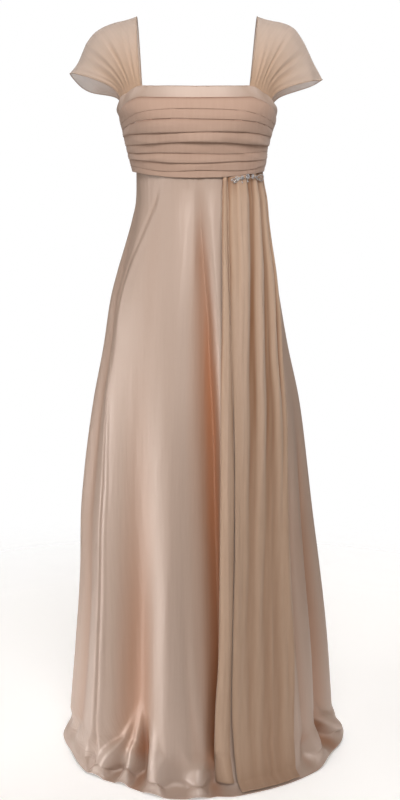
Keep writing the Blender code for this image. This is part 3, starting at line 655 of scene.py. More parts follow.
def ruched_sheet(turn, down):
    """down counts the pleats from the band (0) to the seam (8)."""
    last = len(CROSS_PLEATS) - 1
    index = np.clip(down.astype(int), 0, last)
    round_tuck = (down - index) * (len(TUCK) - 1)
    way, climb = (np.interp(round_tuck, range(len(TUCK)), TUCK[:, c]) for c in (0, 1))
    lines = np.stack([pleat_line(i, turn) for i in range(len(CROSS_PLEATS) + 1)])
    upper, lower = (np.take_along_axis(lines, index[None] + i, 0)[0] for i in (0, 1))
    rise, press, deepest, reach = np.moveaxis(CROSS_PLEATS[index, 2:], -1, 0)
    overhang = np.maximum(way - 1, 0) * press * (index < last)
    height = mix(upper, lower, np.minimum(way, 1)) + overhang * (lower - upper)
    around = np.radians(turn)
    at_side = np.abs(np.sin(around)) ** 6
    uneven = 0.25 + 0.75 * bell(turn - deepest, reach)
    uneven = uneven * (1 + 0.18 * np.sin(around * (5.1 + index * 0.9) + index * 2.4))
    relief = rise * press * climb * mix(1.0, 0.45, at_side) * uneven
    crinkle = np.sin(height * 1500 + 3 * np.sin(around * 5 + height * 90))
    crinkle = crinkle * np.sin(around * 4.2 + height * 160)
    relief = relief + 0.00022 * crinkle * (1 + at_side)
    for middle, level, length, width, slant, swell in SOFT_CREASES:
        aside = height - level - slant * (turn - middle)
        relief = relief + swell * bell(aside, width) * hump(turn - middle, length)
    near_seam = grown(height, -0.284, -0.304)
    for middle, half_width, swell in SEAM_PUCKERS:
        pucker = swell * near_seam * hump(turn - middle, half_width)
        relief = relief + pucker * mix(1, 0.3, climb)
    points = bodice_offset(turn, height, RUCHING_GAP + CHIFFON + relief)
    # painted shade under each tuck's folded edge and in its hollow, painted highlight where it
    # climbs, and a painted shadow line just below the band
    hollow = (way > 1.02) + bell(way, 0.10)
    painted_shadow_below_band = 1.3 * (index == 0) * bell(way, 0.08) * bell(turn, 55)
    return points, (0.6 * climb - 1.1 * hollow) * press * uneven - painted_shadow_below_band


# %% Pleated front
RUCHED_TURNS = seam_turns(BODICE_HALF_WIDTH, -90, (90, 1.0))
RUCHED_ROWS = shares((0.0, (len(CROSS_PLEATS), 1 / (len(TUCK) - 1))))
ruched_front, _ = lay_cloth(
    "ruched_chiffon", RUCHED_TURNS, RUCHED_ROWS, ruched_sheet, RUCHED_CHIFFON, CHIFFON_THINNESS
)

# %% [markdown]
# Each cap sleeve springs from inside the bodice's edge in front, runs over the shoulder and goes
# down behind. The cloth is gathered into 70 mm at either end, so it is deeply pleated there, and
# the pleats open out and fade over the shoulder. A narrow rolled hem finishes its free edge.

# %% Sleeve shape
SLEEVE_GAP = 0.0012
INSIDE_BODICE = -(SATIN + SLEEVE_GAP)
# the share of a sleeve's length that is tucked in at either end, and how deep it goes in
TUCKED_SHARE, TUCKED_DEPTH = 0.03, 0.010
# share from the neck edge to the hem, then x and z over the shoulder towards -X and towards +X
SLEEVE_TOPS = np.array((
    (0.00, -0.1135, 0.0000, 0.1215, 0.0000),
    (0.14, -0.1330, -0.0060, 0.1440, -0.0065),
    (0.30, -0.1600, -0.0125, 0.1700, -0.0115),
    (0.46, -0.1900, -0.0260, 0.1915, -0.0205),
    (0.62, -0.2110, -0.0480, 0.2120, -0.0460),
    (0.82, -0.2300, -0.0870, 0.2325, -0.0865),
    (1.00, -0.2455, -0.1070, 0.2490, -0.1200),
))
SLEEVE_TURNS = (43.5, 73.0)
# pleats of a sleeve: share from its neck edge to its hem, half width, depth at the gathers
SLEEVE_PLEATS = (
    (0.07, 0.040, 0.0026), (0.19, 0.030, 0.0042), (0.31, 0.050, 0.0030), (0.44, 0.030, 0.0050),
    (0.57, 0.048, 0.0032), (0.69, 0.030, 0.0046), (0.82, 0.050, 0.0030), (0.93, 0.030, 0.0030),
)


def sleeve_arch(side, share, along):
    """A sleeve without its pleats. share runs from its neck edge to its hem, along from front
    to back."""
    turn = mix(*SLEEVE_TURNS, share)
    inside = INSIDE_BODICE + 0 * share
    front = bodice_offset(side * turn, edge_height(TOP_EDGE, turn), inside)
    back = bodice_offset(side * (180 - turn), edge_height(TOP_EDGE, 180 - turn), inside)
    top_x, top_z = (column(SLEEVE_TOPS, c, share) for c in ((1, 2) if side < 0 else (3, 4)))
    phase = math.pi * np.clip(along, 0, 1)
    rise = np.sin(phase)
    base = front + (back - front) * ((1 - np.cos(phase)) / 2)[..., None]
    up, out = rise ** mix(0.80, 0.50, share), rise ** mix(0.60, 1.25, share)
    bulge = -0.024 * share * np.sin(2 * phase) + 0.012 * rise
    behind = np.maximum(0, -np.sin(2 * phase)) ** 1.5
    droop = (0.022 if side < 0 else 0.006) * share**3 * behind
    z = mix(base[..., 2], top_z, up) - droop
    return np.stack((mix(base[..., 0], top_x, out), base[..., 1] + bulge, z), -1)


def over_shoulder(v):
    """0 to 1 over the part of a sleeve that shows."""
    return np.clip((v - TUCKED_SHARE) / (1 - 2 * TUCKED_SHARE), 0, 1)


def sleeve_sheet(side):
    middle_of_arm = np.array((side * 0.12, 0.0, -0.15))

    def arch(share, along):
        return sleeve_arch(side, np.clip(share, 0, 1), np.clip(along, 0, 1))

    def place(share, v):
        along = over_shoulder(v)
        rise = np.sin(math.pi * along)
        inner = np.clip(share, 0.01, 0.99), np.clip(along, 0.004, 0.996)
        normals = facing(arch, *inner, arch(share, along) - middle_of_arm, (0.008, 0.002))
        fan = rise**0.5 * (1 - 0.94 * rise**1.3)
        wave = sum(deep * hump(share - middle - 0.02 * np.sin(3 * along + side), half_width)
                   for middle, half_width, deep in SLEEVE_PLEATS)
        drift = 0.0016 * np.sin(share * 17 + along * 5) * rise * (1 - rise) * 4 * share
        flutter = 0.0022 * np.sin(along * 34 + side) * grown(share, 0.80, 1.0) * rise
        depth = fan * wave + drift + flutter
        points = arch(share, along) - normals * depth[..., None]
        turn = mix(*SLEEVE_TURNS, share)
        for end, there in ((0, turn), (1, 180 - turn)):
            low = edge_height(TOP_EDGE, there) - TUCKED_DEPTH
            tucked = bodice_offset(side * there, low, INSIDE_BODICE + 0 * share)
            inside = np.clip((TUCKED_SHARE - np.abs(v - end)) / TUCKED_SHARE, 0, 1)
            points = points + (tucked - points) * inside[..., None]
        # the returned value is painted shade in the hollows of the pleats, strongest near the
        # gathers
        return points, 0.3 - depth / 0.0030 * (0.25 + 0.75 * (1 - rise))

    return place


# %% Cap sleeves
SHEER_THINNESS = 0.0003
SLEEVE_ACROSS = shares((0.0, (0.03, 0.006), (0.97, 0.0115), (1.0, 0.006)))
SLEEVE_ALONG = mix(np.linspace(0, 1, 111), 0.5 - 0.5 * np.cos(np.linspace(0, math.pi, 111)), 0.5)
# how close the yarns crowd: 1 at the gathers, 0 over the shoulder
along_sleeve = np.meshgrid(SLEEVE_ACROSS, SLEEVE_ALONG)[1]
crowd = (1 - np.sin(math.pi * over_shoulder(along_sleeve))) ** 1.5
sleeves = {}
for word, side in (("left", 1), ("right", -1)):
    sleeves[word] = lay_cloth(
        f"cap_sleeve_{word}", SLEEVE_ACROSS, SLEEVE_ALONG, sleeve_sheet(side), SHEER_CHIFFON,
        SHEER_THINNESS, side > 0, crowd=crowd
    )

# %% [markdown]
# The skirt is a front panel and two back panels of satin, flared from the underbust seam and a
# little too long, so that its foot breaks on the floor. Big soft folds fall from the waist. Those
# of the sides and the back run straight down. The front is drawn from its lines of ridges and
# hollows, each with its turn and its rise at six heights, because a real fold drifts, deepens and
# is steeper on one side. The right front carries a sharp line where the cloth was once pressed.

# %% Folds of the skirt
FOLD_HEIGHTS = (-1.44, -1.20, -0.90, -0.60, -0.45, -0.33)
WAIST = -0.31
FOLDS_FULL = FLOOR * 0.8
Fold = namedtuple("Fold", "name turns rises half_width")


def straight(name, waist_turn, hem_turn, half_width, rise, start):
    """A fold that runs straight down from where it starts."""
    down = [(height - WAIST) / (FLOOR - WAIST) for height in FOLD_HEIGHTS]
    rises = [rise * float(grown(height, start, FOLDS_FULL)) for height in FOLD_HEIGHTS]
    return Fold(name, [mix(waist_turn, hem_turn, share) for share in down], rises, half_width)


SKIRT_FOLDS = (
    straight("under drape hollow", 34, 26, 9, -0.0060, -0.60),
    straight("left front ridge", 66, 54, 6, 0.0080, -0.60),
    straight("left hollow", 78, 65, 6, -0.0120, -0.62),
    straight("left side ridge", 88, 78, 7, 0.0110, -0.50),
    straight("left back hollow", 104, 97, 8, -0.0140, -0.45),
    straight("left back ridge", 118, 111, 7, 0.0150, -0.40),
    straight("left seat hollow", 133, 129, 8, -0.0160, -0.42),
    straight("left centre ridge", 149, 146, 7, 0.0155, -0.36),
    straight("left centre hollow", 166, 163, 8, -0.0150, -0.38),
    straight("centre back ridge", 180, 181, 7, 0.0105, -0.42),
    straight("right centre hollow", 196, 199, 8, -0.0150, -0.37),
    straight("right centre ridge", 212, 216, 7, 0.0155, -0.36),
    straight("right seat hollow", 228, 233, 8, -0.0160, -0.41),
    straight("right back ridge", 243, 249, 7, 0.0140, -0.40),
    straight("right back hollow", 257, 262, 7, -0.0120, -0.46),
)
# the front's lines, in order: turn and rise in mm at the same heights, and how sharp the line is
Line = namedtuple("Line", "name turns rises sharpness")
FRONT_LINES = (
    Line("right side seam", (-91, -91, -91, -91, -91, -91), (0, 0, 0, 0, 0, 0), 0.0),
    Line("right side ridge", (-83, -83, -83, -84, -85, -85), (7, 6, 5, 3, 1, 0), 0.0),
    Line("right side hollow", (-69, -68, -69, -71, -73, -74), (-9, -9, -8, -5, -2, 0), 0.2),
    Line("pressed ridge", (-49.5, -50, -52, -58, -57, -56), (16, 15, 10, 4, 2, 0), 0.6),
    Line("right front hollow", (-29.5, -29.5, -31, -32, -34, -34), (-26, -22, -8, -2, -1, 0), 0.0),
    Line("front ridge", (-12, -12.5, -12, -11, -8, -7), (13, 12, 6, 4, 3, 0), 0.5),
    Line("below the ridge", (2.5, 2, 0.5, -2, -1, -1), (3, 3, 0, -1, 0, 0), 0.6),
    Line("front hollow", (8, 10.8, 10.6, 8.8, 6, 3.5), (-17, -21, -22, -16, -11, -2), 0.6),
    Line("drape side ridge", (13.5, 15, 15.4, 15, 14, 13), (3, 4, 6, 6, 3, 0), 0.2),
    Line("under the drape", (21, 22, 22, 22, 22, 22), (0, 0, 0, 0, 0, 0), 0.0),
)
# creases: heights, the turns there, half width in degrees, rise, and the heights where each
# starts and is full
Crease = namedtuple("Crease", "name heights turns half_width rise start full")
PRESSED = (
    (-1.42, -1.30, -1.10, -0.92, -0.80, -0.70, -0.60),
    (-47.5, -48, -49.2, -50.3, -54, -59.5, -65),
)
SLANTED = (-0.66, -0.557, -0.482, -0.415, -0.332)
CREASES = (
    Crease("pressed crease", *PRESSED, 0.55, -0.0030, -0.60, -0.74),
    Crease("beside the crease", PRESSED[0], [turn + 1.9 for turn in PRESSED[1]], 0.9, 0.0016,
           -0.66, -0.80),
    Crease("slanting crease", SLANTED, (-65, -63.4, -58.8, -50.7, -37.6), 1.8, -0.0016,
           -0.31, -0.36),
    Crease("slanting roll", SLANTED, (-61, -59, -54, -46, -32), 2.6, 0.0013, -0.31, -0.38),
    Crease("front hairline", (-1.42, -1.19, -0.95), (-1, -4, -5), 1.5, -0.0022, -1.02, -1.20),
    Crease("front soft line", (-1.42, -1.25, -1.05), (4, -1, -3), 1.6, 0.0020, -1.10, -1.30),
    Crease("left edge line", (-1.42, -1.15, -0.85), (50, 49, 56), 1.3, -0.0046, -0.80, -1.00),
    Crease("left edge roll", (-1.42, -1.15, -0.85), (46.5, 45.5, 52), 1.6, 0.0040, -0.80, -1.00),
    Crease("left soft line", (-1.42, -1.10, -0.80), (63, 66, 76), 1.8, -0.0036, -0.75, -0.95),
    Crease("seat line left", (-1.42, -1.0, -0.5), (136, 139, 143), 1.6, 0.0020, -0.45, -0.70),
    Crease("seat line right", (-1.42, -1.0, -0.5), (224, 222, 219), 1.4, -0.0022, -0.55, -0.80),
    Crease("back line", (-1.42, -1.0, -0.5), (171, 173, 175), 1.3, 0.0018, -0.70, -0.95),
)


def skirt_relief(turn, height):
    """How far the big folds push the wall out."""
    total = 0.0
    for fold in SKIRT_FOLDS:
        middle = between(FOLD_HEIGHTS, fold.turns, height)
        rise = between(FOLD_HEIGHTS, fold.rises, height)
        total = total + rise * hump(round_body(turn - middle), fold.half_width)
    here = round_body(turn)
    for first, last in zip(FRONT_LINES, FRONT_LINES[1:]):
        start, end = (between(FOLD_HEIGHTS, line.turns, height) for line in (first, last))
        low, high = (between(FOLD_HEIGHTS, line.rises, height) * 0.001 for line in (first, last))
        share = (here - start) / (end - start)
        slope = swept(np.clip(share, 0, 1), first.sharpness, last.sharpness)
        total = total + np.where((share >= 0) & (share < 1), mix(low, high, slope), 0)
    return total


def crease_relief(turn, height):
    """How far creases, gathers and seams push the wall out."""
    total = 0.0
    for crease in CREASES:
        distance = round_body(turn - between(crease.heights, crease.turns, height))
        foot = crease.heights[0]
        fade = grown(height, crease.start, crease.full)
        fade = fade * (1 - 0.7 * grown(height, foot + 0.08, foot - 0.03))
        if foot > -1.0:
            fade = fade * (1 - grown(height, foot + 0.10, foot))
        total = total + crease.rise * fade * hump(distance, crease.half_width)
    around = np.radians(turn)
    below_seam = np.maximum(edge_height(UNDERBUST_SEAM, turn) - height, 0)
    near_seam = np.exp(-below_seam / 0.028) * np.minimum(1, below_seam / 0.003)
    gathers = 0.6 * np.sin(around * 47 + 1.1 * np.sin(around * 9)) + 0.4 * np.sin(around * 71 + 2)
    drift = np.sin(around * 7 + height * 6.1) * np.sin(height * 9.3 + around * 3)
    return total + 0.0004 * gathers * near_seam + 0.0008 * drift - 0.0007 * seam_pinch(turn, 0.8)


# %% [markdown]
# At the foot the wall of the skirt rolls outwards, tucks in where it meets the floor and runs out
# to the hem. A few folds open out like fans across that break. They push the wall out, and lift
# the cloth on the floor.

# %% The break on the floor
BREAK_HEIGHT = 0.075
# share of the way down the break, then the share of the spread to the hem and the height, first
# where the wall comes all the way down and then where it flares out from above the floor
BREAK_STEPS = np.array((
    (0.00, 0.00, BREAK_HEIGHT, 0.00, BREAK_HEIGHT),
    (0.28, 0.08, 0.046, 0.03, 0.056),
    (0.50, 0.24, 0.021, 0.16, 0.043),
    (0.70, 0.44, 0.0075, 0.50, 0.027),
    (0.86, 0.72, 0.0030, 0.80, 0.013),
    (1.00, 1.00, SATIN, 1.00, SATIN),
))
# round the skirt: how much it flares, and how far the wall rolls out before it tucks in
FLARES = np.array((
    (-180, 0.5, 0.004), (-150, 0.2, 0.007), (-120, 0.7, 0.004), (-95, 0.9, 0.003),
    (-60, 1.0, 0.002), (-51, 0.9, 0.002), (-45, 0.1, 0.006), (-38, 0.0, 0.007),
    (-24, 0.0, 0.003), (-8, 0.0, 0.004), (3, 0.0, 0.005), (16, 0.0, 0.003), (32, 0.1, 0.003),
    (48, 0.3, 0.002), (56, 0.7, 0.003), (66, 0.8, 0.004), (78, 0.75, 0.007), (92, 0.9, 0.004),
    (120, 0.4, 0.006), (150, 0.8, 0.004), (180, 0.5, 0.004),
))
# fans: turn at their top, turn at the hem, height of the top, half width at the hem, rise
FANS = (
    (-27.5, -44, -1.325, 4.0, 0.0200), (-28, -38, -1.340, 3.0, -0.0190),
    (-26.5, -32, -1.320, 3.2, 0.0240), (-23.5, -25.5, -1.335, 3.0, -0.0210),
    (-19, -16, -1.345, 3.8, 0.0170), (-7, -8, -1.385, 3.8, -0.0110),
    (-47, -50, -1.380, 2.2, -0.0110), (-62, -66, -1.400, 4.0, 0.0070),
    (-80, -84, -1.400, 3.4, -0.0080), (1, 1.5, -1.438, 3.2, 0.0150),
    (5, 6.5, -1.43, 2.2, -0.0070), (51, 49, -1.380, 2.2, -0.0120),
    (56, 58, -1.370, 2.8, 0.0110), (59, 69, -1.372, 3.4, -0.0200),
    (61, 82, -1.335, 3.8, 0.0180), (98, 101, -1.40, 3.4, -0.0070),
    (112, 108, -1.39, 4.2, 0.0080), (127, 131, -1.41, 3.0, -0.0060),
    (146, 149, -1.38, 4.0, 0.0090), (158, 156, -1.40, 2.8, -0.0070),
    (176, 172, -1.39, 4.0, 0.0070), (190, 194, -1.41, 3.0, -0.0070),
    (208, 205, -1.38, 4.4, 0.0090), (222, 226, -1.40, 3.0, -0.0070),
    (240, 238, -1.39, 4.0, 0.0080), (255, 259, -1.41, 3.2, -0.0060),
)
# where the hem's edge curls up off the floor: turn, half width, lift
CURLS = (
    (80, 8, 0.008), (62, 6, 0.007), (-58, 8, 0.003), (118, 10, 0.008), (155, 8, 0.006),
    (-150, 9, 0.008), (-118, 8, 0.005),
)


def fanned(turn, height, share):
    """How far the fans lift the cloth, out from the wall or up from the floor."""
    total = 0.0
    for at_top, at_hem, top, half_width, rise in FANS:
        reach = np.clip((top - height) / (top - FLOOR), 0, 1) * 0.6 + 0.4 * share
        opened = grown(reach, 0.0, 0.55)
        distance = round_body(turn - mix(at_top, at_hem, reach))
        total = total + rise * opened * hump(distance, half_width * mix(0.35, 1.0, opened))
    return total


# %% Skirt shape
# how far the seam's allowance is turned in, and how much of the folds the hem's edge keeps
TURNED_IN = 0.0013
HEM_FOLLOWS = 0.35


def wall_height(top, down):
    """Height on the skirt's wall: down runs from its top (0) to the break (1), and stays there."""
    return mix(top, FLOOR + BREAK_HEIGHT, np.minimum(down, 1))


def skirt(turn, down):
    """The outer face of the satin skirt: down runs 0 to 1 from the seam to the break, and on to 2
    at the hem's edge, which lies on the floor. Below 0 is the allowance, inside the bodice."""
    height = wall_height(edge_height(UNDERBUST_SEAM, turn) - SEAM_GAP, down)
    wall, outward = on_sections(SKIRT_SECTIONS, turn, height)
    relief = skirt_relief(turn, height) + crease_relief(turn, height) - TURNED_IN * (down < 0)
    wall = wall + outward * relief[..., None]
    share = np.maximum(down - 1, 0)
    hem, hem_outward = on_sections(HEM, turn, FLOOR + 0 * turn)
    hem = hem + hem_outward * (skirt_relief(turn, FLOOR + 0 * turn) * HEM_FOLLOWS)[..., None]
    flare, roll = (column(FLARES, c, round_body(turn)) for c in (1, 2))
    down_out, down_low, flare_out, flare_low = (column(BREAK_STEPS, c, share) for c in (1, 2, 3, 4))
    points = wall + (hem - wall) * mix(down_out, flare_out, flare)[..., None]
    points[..., 2] = np.where(down > 1, FLOOR + mix(down_low, flare_low, flare), height)
    puff = roll * (hump(share - 0.36, 0.18) - 0.5 * hump(share - 0.72, 0.12))
    fan_out = fanned(turn, points[..., 2], share)
    on_floor = grown(share, 0.55, 0.85)
    raised = np.maximum(fan_out, 0) * on_floor * (1 - 0.75 * grown(share, 0.85, 1.0))
    for middle, half_width, lift in CURLS:
        curl = lift * hump(round_body(turn - middle), half_width)
        raised = raised + curl * grown(share, 0.66, 1.0)
    points = points + outward * (puff + fan_out * (1 - on_floor))[..., None]
    points[..., 2] += raised
    return points


def skirt_normals(turn, down):
    inner = np.clip(down, 0.002, 1.998)
    normals = facing(skirt, turn, inner, level_outwards(turn), (0.05, 0.002))
    return np.where((down > 1.85)[..., None], np.array((0.0, 0.0, 1.0)), normals)


# %% Skirt cloth
# where the satin's colour is painted darker and warmer, as painted shade and painted reflection of
# the cloth beside it: turn, half width, heights where it starts and is full, and how much
PAINTED_SHADES = (
    (62, 14, -0.75, -1.05, 0.50), (4, 5.5, -0.35, -0.48, 0.45), (10, 4, -0.45, -0.70, 0.55),
    (-93, 7, -0.60, -1.00, 0.60),
)
CREASE_TURN = -50


def skirt_sheet(turn, down):
    height = wall_height(edge_height(UNDERBUST_SEAM, turn), down)
    # painted shade in the hollows and painted highlight on the ridges, from the depth of the folds;
    # the cloth lying on the floor is painted lighter, and so are the fans' ridges
    depth = skirt_relief(turn, height) + 1.5 * crease_relief(turn, height)
    lying = grown(down, 1.15, 1.5)
    tone = depth / 0.020 * (1 - 0.6 * lying) + 0.9 * lying
    low = height - BREAK_HEIGHT * grown(down, 1, 1.6)
    tone = tone + fanned(turn, low, np.maximum(down - 1, 0)) / 0.018
    for middle, half_width, start, full, much in PAINTED_SHADES:
        shade = much * hump(round_body(turn - middle), half_width)
        tone = tone - shade * grown(height, start, full)
    # the colour is darker in a band across the cloth on the floor
    darker_floor_band = hump(down - 1.74, 0.09)
    return skirt(turn, down), tone - 0.25 * darker_floor_band


def front_sheet(turn, down):
    """The front's columns crowd round the pressed crease and follow it."""
    shift = between(*PRESSED, wall_height(-0.3, down)) - CREASE_TURN
    return skirt_sheet(turn + shift * hump(turn - CREASE_TURN, 14), down)


# %% Skirt panels
SKIRT_HALF_WIDTH = 0.2
FRONT_TURNS = seam_turns(
    SKIRT_HALF_WIDTH, -90, (-56, 1.7), (-46, 0.26), (-36, 0.8), (3, 1.15), (16, 0.5), (90, 1.35)
)
FRONT_DOWN = shares((-0.0045, (0.0, 0.0045), (0.05, 0.0035), (1.0, 0.0068), (2.0, 0.021)))
BACK_DOWN = shares((-0.0045, (0.0, 0.0045), (0.05, 0.005), (1.0, 0.0105), (2.0, 0.027)))


def back_panel(name, first, last):
    turns = seam_turns(SKIRT_HALF_WIDTH, first, (last, 1.1))
    return lay_cloth(name, turns, BACK_DOWN, skirt_sheet, SATIN_CLOTH)[0]


skirt_front, _ = lay_cloth("satin_skirt_front", FRONT_TURNS, FRONT_DOWN, front_sheet, SATIN_CLOTH)
skirt_back_left = back_panel("satin_skirt_back_left", 90, 180)
skirt_back_right = back_panel("satin_skirt_back_right", -180, -90)

# %% [markdown]
# A panel of chiffon hangs from the trim at the left of the front, laid in soft pleats that are
# drawn in at its head and open out below. Beside it hangs a narrow tail, folded along its middle.
# Both rest on the satin, so their points are the skirt's, moved out by the cloth and its pleats.

# %% Drape and tail shape
DRAPE_GAP = 0.0010
DRAPE_HEAD = -0.308
# where the front's line under the drape runs
UNDER_DRAPE = 22
# height, then the turns of the tail's near and far edge and of the drape's
DRAPE_EDGES = np.array((
    (-1.480, 9.5, 16.0, 17.2, 41.5),
    (-1.410, 7.8, 13.8, 15.4, 43.5),
    (-1.335, 8.2, 14.2, 14.8, 44.6),
    (-1.220, 10.0, 15.1, 15.5, 45.8),
    (-1.030, 11.4, 17.5, 17.8, 48.5),
    (-0.740, 13.4, 20.0, 20.3, 58.0),
    (-0.549, 17.4, 22.7, 23.0, 72.0),
    (-0.450, 19.6, 24.9, 25.3, 80.0),
    (-0.353, 22.2, 26.9, 27.4, 86.0),
    (-0.290, 24.6, 28.6, 29.2, 88.0),
))
PLEAT_DOWN = (0.0, 0.10, 0.25, 0.40, 0.60, 0.80, 1.0)
# pleats of the drape: place across it at seven places down, half widths on either side, rises in mm
DRAPE_PLEATS = (
    ((0.07, 0.06, 0.05, 0.04, 0.04, 0.05, 0.06), 0.035, 0.040, (3.0, 3.5, 2.5, 2.0, 2.0, 2.5, 3.0)),
    ((0.28, 0.27, 0.21, 0.19, 0.18, 0.16, 0.20), 0.130, 0.050, (5.0, 8.5, 9.5, 8.0, 5.0, 3.5, 3.5)),
    ((0.54, 0.52, 0.47, 0.47, 0.45, 0.41, 0.38), 0.055, 0.060, (5.0, 8.5, 9.5, 8.0, 5.5, 4.0, 3.5)),
    ((0.76, 0.77, 0.76, 0.80, 0.84, 0.86, 0.84), 0.060, 0.060, (4.5, 6.5, 7.5, 6.0, 4.0, 3.5, 3.0)),
    ((0.95, 0.95, 0.96, 0.96, 0.96, 0.97, 0.96), 0.040, 0.040, (3.5, 4.5, 4.5, 4.0, 3.0, 2.5, 2.5)),
    ((0.16, 0.17, 0.15, 0.13, 0.12, 0.12, 0.13), 0.018, 0.018, (1.5, 1.8, 1.6, 1.2, 0.8, 0.6, 0.5)),
    ((0.41, 0.42, 0.37, 0.35, 0.34, 0.31, 0.30), 0.020, 0.016, (1.8, 0.5, 0.1, 0.2, 0.5, 0.8, 0.8)),
    ((0.65, 0.66, 0.63, 0.63, 0.66, 0.64, 0.62), 0.022, 0.022, (1.2, 1.6, 0.7, 0.4, 0.8, 1.4, 1.4)),
)


def hanging(near, far, rise, finest, bridged=0.0):
    """A panel that hangs over the skirt between two columns of the edges. bridged is how much of
    the hollow before it the cloth hangs clear of."""
    crest = FRONT_LINES[-2]

    def place(across, down):
        height = wall_height(DRAPE_HEAD, down)
        low = height - BREAK_HEIGHT * np.maximum(down - 1, 0)
        turn = mix(*(column(DRAPE_EDGES, c, low) for c in (near, far)), across)
        above_floor = grown(down, 1.3, 0.95)
        level = skirt_relief(between(FOLD_HEIGHTS, crest.turns, height), height)
        clear = np.maximum(level - skirt_relief(turn, height), 0) * (turn < UNDER_DRAPE)
        outwards = on_sections(SKIRT_SECTIONS, turn, height)[1]
        freely = (bridged > 0) * above_floor
        leans = unit(mix(skirt_normals(turn, down), outwards, freely[..., None]))
        out = DRAPE_GAP + CHIFFON + rise(across, down)
        points = skirt(turn, down) + leans * out[..., None]
        points = points + outwards * (bridged * clear * above_floor)[..., None]
        under_seam = edge_height(UNDERBUST_SEAM, turn) - 3 * SEAM_GAP
        points[..., 2] = np.minimum(points[..., 2], under_seam)
        # painted shade between the pleats and painted highlight on them, weaker lower down
        tone = (1.7 * rise(across, down) / finest - 0.95) * mix(1, 0.4, grown(down, 0.3, 0.7))
        return points, tone

    return place


def drape_rise(across, down):
    """How far the drape's pleats, gathers and waves stand off the skirt."""
    total = 0.0
    wall, foot = np.minimum(down, 1), np.maximum(down - 1, 0)
    for places, low_side, high_side, rises in DRAPE_PLEATS:
        middle = between(PLEAT_DOWN, places, wall)
        rise = between(PLEAT_DOWN, np.array(rises) * 0.001, wall)
        total = total + rise * hump(across - middle, low_side, high_side)
    gathers = 0.0005 * np.sin(across * 190 + 3 * np.sin(across * 31)) * np.exp(-wall / 0.035)
    waver = 0.0006 * np.sin(across * 43 + wall * 11) * np.sin(wall * 23 + across * 7)
    total = total * mix(1.0, 0.22, foot) + gathers + waver + 0.0007
    return total * mix(0.6, 1.0, grown(wall, 0, 0.05))


def tail_rise(across, down):
    """How far the tail's fold stands off the skirt."""
    wall, foot = np.minimum(down, 1), np.maximum(down - 1, 0)
    swell = between((0, 0.25, 0.5, 0.75, 1.0), (0.0022, 0.0046, 0.0056, 0.0048, 0.0055), wall)
    crown = np.sin(math.pi * np.clip(across, 0, 1) ** 0.8)
    line = 0.0012 * hump(across - 0.62 - 0.12 * np.sin(wall * 9), 0.09)
    curl = 0.0012 * np.sin(wall * 26) * (across - 0.5)
    return (swell * crown + line * grown(wall, 0.05, 0.3) + curl) * mix(1.0, 0.4, foot) + 0.0006


# %% Drape and tail
DRAPE_DOWN = shares((0.0, (0.08, 0.0045), (1.0, 0.0095), (1.965, 0.028)))
TAIL_DOWN = shares((0.0, (1.0, 0.009), (1.62, 0.028)))
drape, drape_points = lay_cloth(
    "chiffon_drape", shares((0.0, (1.0, 0.0105))), DRAPE_DOWN, hanging(3, 4, drape_rise, 0.0075),
    DRAPE_CHIFFON, CHIFFON_THINNESS
)
tail, tail_points = lay_cloth(
    "chiffon_tail", shares((0.0, (1.0, 0.05))), TAIL_DOWN, hanging(1, 2, tail_rise, 0.0058, 0.85),
    DRAPE_CHIFFON, CHIFFON_THINNESS
)

# %% [markdown]
# The chiffon's free edges have narrow rolled hems. A roll is a fine tube along the edge's points,
# so a curve with a round bevel makes it, and the curve is then turned into a mesh.

# %% Rolled hems
SLEEVE_ROLL, PANEL_ROLL = 0.0008, 0.0007


def rolled_hem(name, lines, radius, material=ROLLED_CHIFFON):
    """Tubes along lines of points, as one mesh."""
    curve = bpy.data.curves.new(name, "CURVE")
    curve.dimensions = "3D"
    curve.bevel_depth = radius
    curve.bevel_resolution = 1
    curve.use_fill_caps = True
    for line in lines:
        spline = curve.splines.new("POLY")
        spline.points.add(len(line) - 1)
        weighted = np.column_stack((line, np.ones(len(line)))).astype(np.float32)
        spline.points.foreach_set("co", weighted.ravel())
    drawn = placed(name, curve)
    graph = bpy.context.evaluated_depsgraph_get()
    data = bpy.data.meshes.new_from_object(drawn.evaluated_get(graph))
    bpy.data.objects.remove(drawn)
    data.name = name
    data.materials.clear()
    data.materials.append(material)
    on_points(data, "fold", np.full(len(data.vertices), -0.5, np.float32))
    data.uv_layers.new(name="cut")
    data.shade_smooth()
    print(f"{name}: {len(data.polygons)} faces")
    return placed(name, data)


def panel_hem(name, points):
    """A roll down one side of a hanging panel, along its foot and up the other side."""
    return rolled_hem(name, [points[2:, 0], points[-1], points[2:, -1]], PANEL_ROLL)


sleeve_hems = {
    word: rolled_hem(f"sleeve_hem_{word}", [points[8:-8, -1], points[8:-8, 0]], SLEEVE_ROLL)
    for word, (cloth, points) in sleeves.items()
}
drape_hem = panel_hem("drape_hem", drape_points)
tail_hem = panel_hem("tail_hem", tail_points)

# %% [markdown]
# The jewelled trim sits on the seam at the head of the drape. Three rosettes of round stones stand
# in cup settings with claws, with pear drops under two of them. Small open petals lead up to them,
# and a larger open leaf closes the trim at the side. A place on it is a turn, a height above its
# middle line and a stand-off, and each stone is two short cones with as many sides as a real one
# has facets.

# %% Places on the trim
TRIM_DROP = 0.0065
TRIM_STAND_OFF = 0.0074


